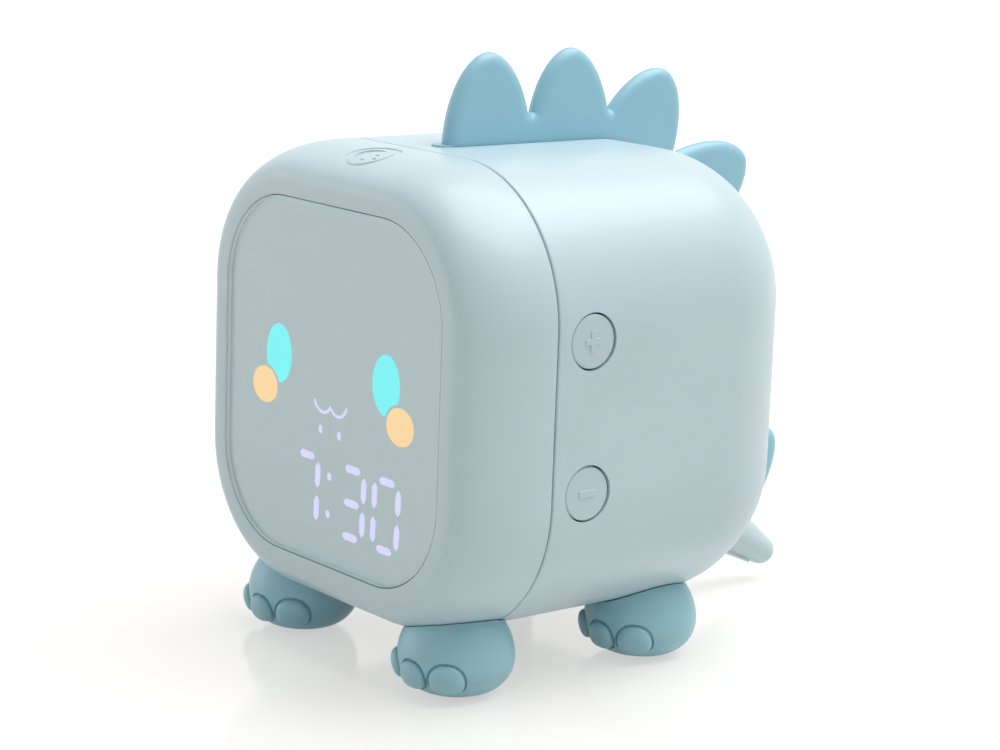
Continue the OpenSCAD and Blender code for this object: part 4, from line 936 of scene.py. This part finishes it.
def on_foot(turn, s, z, out):
    """Points out millimetres off the ball: s is measured round it from the turn, and the
    normal of its lower quarter round dips by 1 - (z - pad) / round."""
    dip = np.clip(1 - (z - PAD_OUT) / FOOT_ROUND, 0, 1)
    r = FOOT_R - FOOT_ROUND + np.sqrt(1 - dip ** 2) * FOOT_ROUND
    up = np.maximum(z - PAD_OUT - FOOT_ROUND, 0)
    r = np.where(up > 0, np.sqrt(FOOT_R ** 2 - up ** 2), r) + out * np.sqrt(1 - dip ** 2)
    a = turn + s / FOOT_R
    return np.stack([r * np.sin(a), -r * np.cos(a), z - out * dip], -1)


print(f"foot {2 * FOOT_R:.1f} across, {len(ball)} points in its profile")

# %% Toes
# turn round the foot, half the width and height above the middle of each toe
TOES = [(math.radians(turn), w, up) for turn, w, up in ((-42, 3.45, 3.5), (3, 3.15, 3.35), (43, 3.6, 3.75))]
TOE_Z, TOE_DOWN, TOE_OUT, TOE_ROOT = 4.35, 1.7, 1.3, 0.7
GROOVE_R, GROOVE_SUNK = 0.42, 0.2


def toe_edge(grow, w, up):
    """A toe's outline about its middle: half an ellipse above, a flatter superellipse below."""
    c, s = circle(once_round(96)).T
    below = -(TOE_DOWN + grow) * np.abs(s) ** 0.72
    return (w + grow) * np.sign(c) * np.abs(c) ** 0.86, np.where(s > 0, (up + grow) * s, below)


def toe(turn, w, up):
    """A soft dome, out * (1 - rho^3)^0.5 high, over an outline that narrows to its middle."""
    rho = np.array([0, 0.25, 0.45, 0.6, 0.72, 0.81, 0.88, 0.93, 0.965, 0.985, 0.996, 1, 1, 0])[:, None]
    out = TOE_OUT * (1 - np.minimum(rho, 1) ** 3) ** 0.5
    out[-2:] = -TOE_ROOT
    s, z = toe_edge(0, w, up)
    return tube(on_foot(turn, rho * s, TOE_Z + rho * z, out))


def toe_groove(turn, w, up):
    """A thin tube round a toe, laid a little into the ball's surface."""
    rows = []
    for a in once_round(10):
        s, z = toe_edge(0.12 + GROOVE_R * math.cos(a), w, up)
        rows.append(on_foot(turn, s, TOE_Z + z, GROOVE_R * math.sin(a) - GROOVE_SUNK))
    return tube(np.stack(rows), ring=True)


foot = build("foot", lathe(ball, [0, 0, 1], [0, 0, 0], 180))
for one in TOES:
    foot = cut(foot, build("groove", toe_groove(*one)))
for one in TOES:
    foot = cut(foot, build("toe", toe(*one)), how="UNION")
print("one foot:", len(foot.data.polygons), "faces")

# %% Four feet under the case
CLEAR = 0.22
case = case_rows(np.concatenate([rim, [[0, DEEP - REAR_R]], round_out[::-1][1:]])) + [0, 0, CLEAR, 0]
case = tube(carry(closed(case)))
for node in ("foot_front_right", "foot_front_left", "foot_rear_right", "foot_rear_left"):
    mesh = foot.data.copy()
    mesh.name = node + "_moulding"
    mesh.transform(Matrix.Translation((middle(node)[0] * MM, (node_box(node)[1][1] - FOOT_R) * MM, 0)))
    finish_piece(cut(put(mesh), build("case", case)), FOOT, replaces=[node])
bpy.data.objects.remove(foot)

# %% [markdown]
# ## Face
#
# Behind the clear lens lies a printed sheet. Where the light mask behind it is open, the
# sheet glows: two eyes, two cheeks, a small mouth, a nose of two dots, and the time on
# seven-bar digits. A material could paint them, but their edges would blur as soon as it
# is baked. So each lit shape is an outline with exact arcs, made a thin prism just in
# front of the sheet, and its edge stays crisp however close one looks.

# %% Digits of seven bars, about the middle of the window
DIGIT_H, DIGIT_W, BAR_W, BAR_LEVEL, BAR_UPRIGHT, LEAN = 13.2, 7.4, 1.5, 4.9, 5.1, 0.5
DIGIT_X, DIGIT_Z = (-18.35, -7.5, 7.5, 18.35), -21.0
ON = {"7": "abc", "3": "abcdg", "0": "abcdef", " ": ""}


def bar(length, width, tip, blunt):
    """A level bar: straight sides, and ends that run to a point over tip millimetres; the
    point is blunted by a parabola through its shoulder and nose."""
    half, side = length / 2, width / 2
    t = np.linspace(-1, 1, 13)
    nose = np.column_stack([half - tip * np.abs(t) ** blunt, side * t])
    return np.concatenate([nose, -nose])


def digit(letter, x):
    """The lit bars of a digit: a on top, b and c right, d at the foot, e and f left, g between."""
    level, upright = bar(BAR_LEVEL, BAR_W, 0.75, 1.5), bar(BAR_UPRIGHT, BAR_W * 1.1, 0.95, 1.1)[:, ::-1] * [-1, 1]
    side, half, quarter_h, lean = DIGIT_W / 2, DIGIT_H / 2, DIGIT_H / 4, LEAN / 4
    places = {"a": (LEAN / 2, half), "g": (0, 0), "d": (-LEAN / 2, -half),
              "b": (side + lean, quarter_h), "c": (side - lean, -quarter_h),
              "f": (-side + lean, quarter_h), "e": (-side - lean, -quarter_h)}
    shapes = []
    for name in ON[letter]:
        px, pz = places[name]
        p = level if name in "agd" else upright
        shapes.append(np.column_stack([p[:, 0] + LEAN / DIGIT_H * p[:, 1] + x + px, p[:, 1] + DIGIT_Z + pz]))
    return shapes


def oval(x, z, w, h, count=96):
    """Ellipse about (x, z), w wide and h high."""
    return circle(once_round(count)) * [w / 2, h / 2] + [x, z]


digits = sum((digit(letter, x) for letter, x in zip(" 730", DIGIT_X)), [])
dots = [oval(s * LEAN / 4, DIGIT_Z + s * (DIGIT_H / 4 + 0.4), 1.4, 1.5, 32) for s in (1, -1)]
print("lit bars:", len(digits))

# %% Eyes, cheeks, mouth and nose
EYE = dict(x=17.5, z=3.7, w=8.5, h=11.6)
CHEEK = dict(x=22.1, z=-3.3, w=8.5, h=7.2)
CHEEK_WALL = 0.6        # the unlit wall between an eye and its cheek


def eye_outline():
    """An ellipse less a slightly grown cheek: the eye's points outside the cheek, then the
    cheek's own arc between the two places where the outlines cross."""
    eye = oval(EYE["x"], EYE["z"], EYE["w"], EYE["h"], 400)
    centre = np.array([CHEEK["x"], CHEEK["z"]])
    cheek = np.array([CHEEK["w"] / 2 + CHEEK_WALL, CHEEK["h"] / 2 + CHEEK_WALL])
    inside = np.hypot(*((eye - centre) / cheek).T) < 1
    first = int(np.argmax(inside & ~np.roll(inside, 1)))
    free = np.roll(eye, -first, axis=0)[~np.roll(inside, -first)]
    start, stop = (math.atan2(*((p - centre) / cheek)[::-1]) for p in (free[-1], free[0]))
    if stop > start:
        stop -= 2 * np.pi
    a = np.linspace(start, stop, 40)[1:-1]
    return np.concatenate([free[::4], centre + cheek * circle(a)])


def mouth_outline(radius=2.9, width=0.62, apart=2.45, z=-2.25, outer=21.0):
    """The right one of two arcs that meet in the middle: a stroke about the arc, with half a
    circle at each end. It stops outer degrees short of level."""
    inner = math.degrees(math.acos(apart / radius))
    a, half = np.radians(np.linspace(180 + inner, 360 - outer, 40)), np.linspace(0, np.pi, 9)[1:-1]
    stroke = [(radius + width / 2) * circle(a)]
    for end, turn in ((a[-1], 0), (a[0], np.pi)):
        stroke.append(circle(half + end + turn) * width / 2 + radius * circle(end))
        if not turn:
            stroke.append((radius - width / 2) * circle(a[::-1]))
    return np.concatenate(stroke) + [apart, z]


def both(outline):
    """An outline on the right and its mirror image on the left."""
    return [outline, outline[::-1] * [-1, 1]]


nose = [oval(-3.1, -8.6, 1.2, 1.75, 32), oval(3.0, -8.8, 1.2, 1.75, 32)]
print("eye outline:", len(eye_outline()), "points")

# %% The lit shapes in front of the sheet
SHEET_Y = node_box("light_sheet")[0][1]


def lit(name, outlines, colour):
    """Thin prisms of outlines, glowing in a colour, just in front of the printed sheet."""
    f = Finish(name + " light")
    glow = f.mix(f.noise(3.5, 1), tuple(c * 0.97 for c in colour[:3]) + (1,), colour)
    inputs = {"Base Color": (0.01, 0.01, 0.01, 1), "Roughness": 0.5, "Emission Color": glow, "Emission Strength": 1.0}
    material = f.close(f.node("ShaderNodeBsdfPrincipled", None, inputs))
    prisms = [slab(np.asarray(o) + [0, Z_MID], 1, SHEET_Y - 0.05, SHEET_Y - 0.01) for o in outlines]
    finish_piece(build(name, join(prisms)), material)


lit("lit_time", digits + dots, ink(211, 211, 249))
lit("lit_mouth", both(mouth_outline()) + nose, ink(211, 211, 249))
lit("lit_eyes", both(eye_outline()), ink(108, 238, 240))
lit("lit_cheeks", both(oval(CHEEK["x"], CHEEK["z"], CHEEK["w"], CHEEK["h"])), ink(247, 210, 150))

# %% [markdown]
# ## Lens
#
# A clear plate fills the window, flush with the rim, and reaches back to the sheet. It
# could be glass that bends light, but then lamplight would reach the sheet only as
# noise. So it's a clear shader with a trace of gloss. Its side wall is painted white,
# as on such clocks, to keep the light in.

# %% The lens's form
LENS_PLAY, LENS_OFF = 0.11, 0.05
LENS_T = (SHEET_Y - 0.06) - Y_FACE
bevel = soften([[-LENS_PLAY, LENS_T], [-LENS_PLAY, 0.0], [-4, 0.0]], {1: 0.25}, 6)[:-1]
lens = carry(closed(window_rows([*bevel, [-0.4, 0]]))) + [LENS_OFF, 0, LENS_OFF]
lens = build("face_lens_moulding", tube(lens))
print(f"lens {LENS_T:.2f} thick")

# %% The lens's finish
f = Finish("clear lens")
film = f.noise(6, 2)
clear = f.node("ShaderNodeBsdfTransparent", None, {"Color": (0.985, 0.99, 0.99, 1)})
gloss = f.node("ShaderNodeBsdfGlossy", None, {"Color": (1, 1, 1, 1), "Roughness": 0.30 + film * 0.05})
clear = f.node("ShaderNodeMixShader", None, {0: film * 0.004 + 0.005, 1: clear, 2: gloss})
# painted in the last sixth of a millimetre of its radius, measured from the corners' centres
parts = f.node("ShaderNodeSeparateXYZ", None, {0: f.place()}).socket.node.outputs
x, z = (((Value(f.tree, parts[k]) - centre * MM).unsigned() - WINDOW_C * MM).at_least(0.0)
        for k, centre in ((0, LENS_OFF), (2, Z_MID + LENS_OFF)))
painted = (x * x + z * z).above(((WINDOW_R - 0.17) * MM) ** 2)
paint = f.node("ShaderNodeBsdfPrincipled", None, {"Base Color": ink(232, 243, 244), "Roughness": 0.6})
LENS = f.close(f.node("ShaderNodeMixShader", None, {0: painted, 1: clear, 2: paint}))
finish_piece(lens, LENS, replaces=["face_lens"])

# %% [markdown]
# ## Floor, room and lamps
#
# A large soft lamp stands high behind the clock and to its right, and a weak one low at
# its front left. The room gives a little light from everywhere. More light could make
# the floor and the room white, but it would wash out the clock. So they are white only
# to the camera, and to what is mirrored or seen through, by Light Path. Far from the
# clock the floor fades into the room's white.

# %% Floor
def seen_rays(tree):
    """1 for what the camera sees straight, mirrored or through something, and 0 for other light."""
    path = Finish.add(tree, "ShaderNodeLightPath").socket.node.outputs
    camera_ray, glossy, through = (Value(tree, path[kind])
                                   for kind in ("Is Camera Ray", "Is Glossy Ray", "Is Transmission Ray"))
    return (camera_ray + glossy + through).clamped()


FLOOR_HALF, FADE_FROM, FADE_OVER = 1.3, 0.35, 0.4      # metres
f = Finish("floor")
paper, seen = f.noise(900, 2), seen_rays(f.tree)
tone = f.mix(seen, f.mix(paper, ink(214, 211, 206), ink(218, 215, 210)), ink(179, 175, 170))
matt = f.node("ShaderNodeBsdfDiffuse", None, {"Color": tone})
far = f.node("ShaderNodeVectorMath", {"operation": "LENGTH"}, {0: f.place()}, output=1)
fade = ((far - FADE_FROM) / FADE_OVER).clamped()
haze = f.node("ShaderNodeEmission", None, {"Color": ink(255, 254, 252), "Strength": seen * (fade * 0.4 + 0.64)})
matt = f.node("ShaderNodeAddShader", None, {0: matt, 1: haze})
shine = f.node("ShaderNodeBsdfGlossy", None, {"Color": (1, 1, 1, 1), "Roughness": 0.13})
surface = f.node("ShaderNodeMixShader", None, {0: paper * 0.02 + 0.15, 1: matt, 2: shine})
floor_mesh = bpy.data.meshes.new("floor")
floor_mesh.from_pydata([(x * FLOOR_HALF, y * FLOOR_HALF, 0) for x, y in ((-1, -1), (1, -1), (1, 1), (-1, 1))],
                       [], [(0, 1, 2, 3)])
floor_mesh.materials.append(f.close(surface))
floor = put(floor_mesh)
print("floor:", 2 * FLOOR_HALF, "m square")

# %% Room and lamps
world = bpy.data.worlds.new("room")
world.use_nodes = True
bpy.context.scene.world = world
tree = world.node_tree
tree.nodes.clear()
room = Finish.add(tree, "ShaderNodeBackground", None,
                  {"Color": (1, 1, 1, 1), "Strength": seen_rays(tree) * 0.65 + 0.35})
Finish.add(tree, "ShaderNodeOutputWorld", None, {"Surface": room})


def soft_lamp(name, place, aim, size, power):
    """A square area lamp at a place in millimetres, turned to face the aim."""
    data = bpy.data.lights.new(name, "AREA")
    data.size, data.energy = size * MM, power
    lamp = put(data)
    way = Vector(((np.array(aim) - np.array(place)) * MM).tolist())
    lamp.rotation_euler = way.to_track_quat("-Z", "Y").to_euler()
    lamp.location = (np.array(place) * MM).tolist()


soft_lamp("key", [330, 650, 1970], [0, 0, 50], 2000, 49)
soft_lamp("fill", [-1400, -1100, 260], [0, 0, 30], 1200, 6)
print("lamps:", len(bpy.data.lights))

# %% [markdown]
# ## The CAD pieces that stay
#
# What lies inside the case, and the small standard parts outside, keep their CAD
# solids: a finer mesh would show nothing more. Each gets the finish of what it's made
# of: boards, nickel-plated steel, dark plastic, rubber, brass and paper.

# %% Materials for the CAD pieces that stay
DARK = plain("dark plastic", ink(38, 39, 42), 0.45)
STEEL = plain("nickel plated steel", ink(196, 197, 200), 0.3, metal=1.0)
LOOKS = [
    (plain("face print", ink(213, 231, 236), 0.6, cloud=0.985, skin=0.002), ["light_sheet"]),
    (plain("light mask plastic", ink(60, 66, 68), 0.6), ["light_mask"]),
    (DARK, ["plus_plunger", "minus_plunger", "mode_plunger", "alarm_plunger", "tact_switches", "switch_knob",
            "battery_holder", "main_chips", "display_driver"]),
    (plain("circuit board", ink(28, 92, 58), 0.4), ["display_board", "button_board_right", "button_board_left",
                                                    "main_board"]),
    (STEEL, ["display_screws", "button_board_screws", "main_board_screws", "charging_socket", "switch_body",
             "battery_contacts", "speaker_basket", "speaker_screws", "comb_screws", "tail_screw",
             "case_screws", "foot_screws"]),
    (SHELL, ["tail_cover"]),
    (plain("brass strip", ink(212, 178, 108), 0.32, metal=1.0), ["touch_pad", "touch_lead"]),
    (plain("ribbon cable", ink(214, 212, 204), 0.5), ["ribbon_cable"]),
    (plain("cell wrap", ink(70, 120, 162), 0.3), ["battery_cell"]),
    (plain("rubber", ink(92, 98, 102), 0.75, grain=0.3, skin=0.02), ["speaker_gasket", "foot_pads"]),
    (plain("speaker cone paper", ink(44, 44, 46), 0.85, grain=0.4, skin=0.05), ["speaker_cone"]),
    (plain("speaker magnet", ink(96, 97, 100), 0.5, metal=0.6), ["speaker_magnet"]),
    (plain("lamp chip", ink(240, 232, 190), 0.35), ["display_lamps", "night_lamps"]),
]
for material, names in LOOKS:
    for name in names:
        solid = nodes[name]
        solid.data.materials.clear()
        solid.data.materials.append(material)
print("CAD pieces dressed:", sum(len(names) for _, names in LOOKS))

# %% [markdown]
# ## The end
#
# Colours are shown as they are written.

# %% Colours as they are written, and the end
bpy.context.scene.view_settings.view_transform = "Standard"
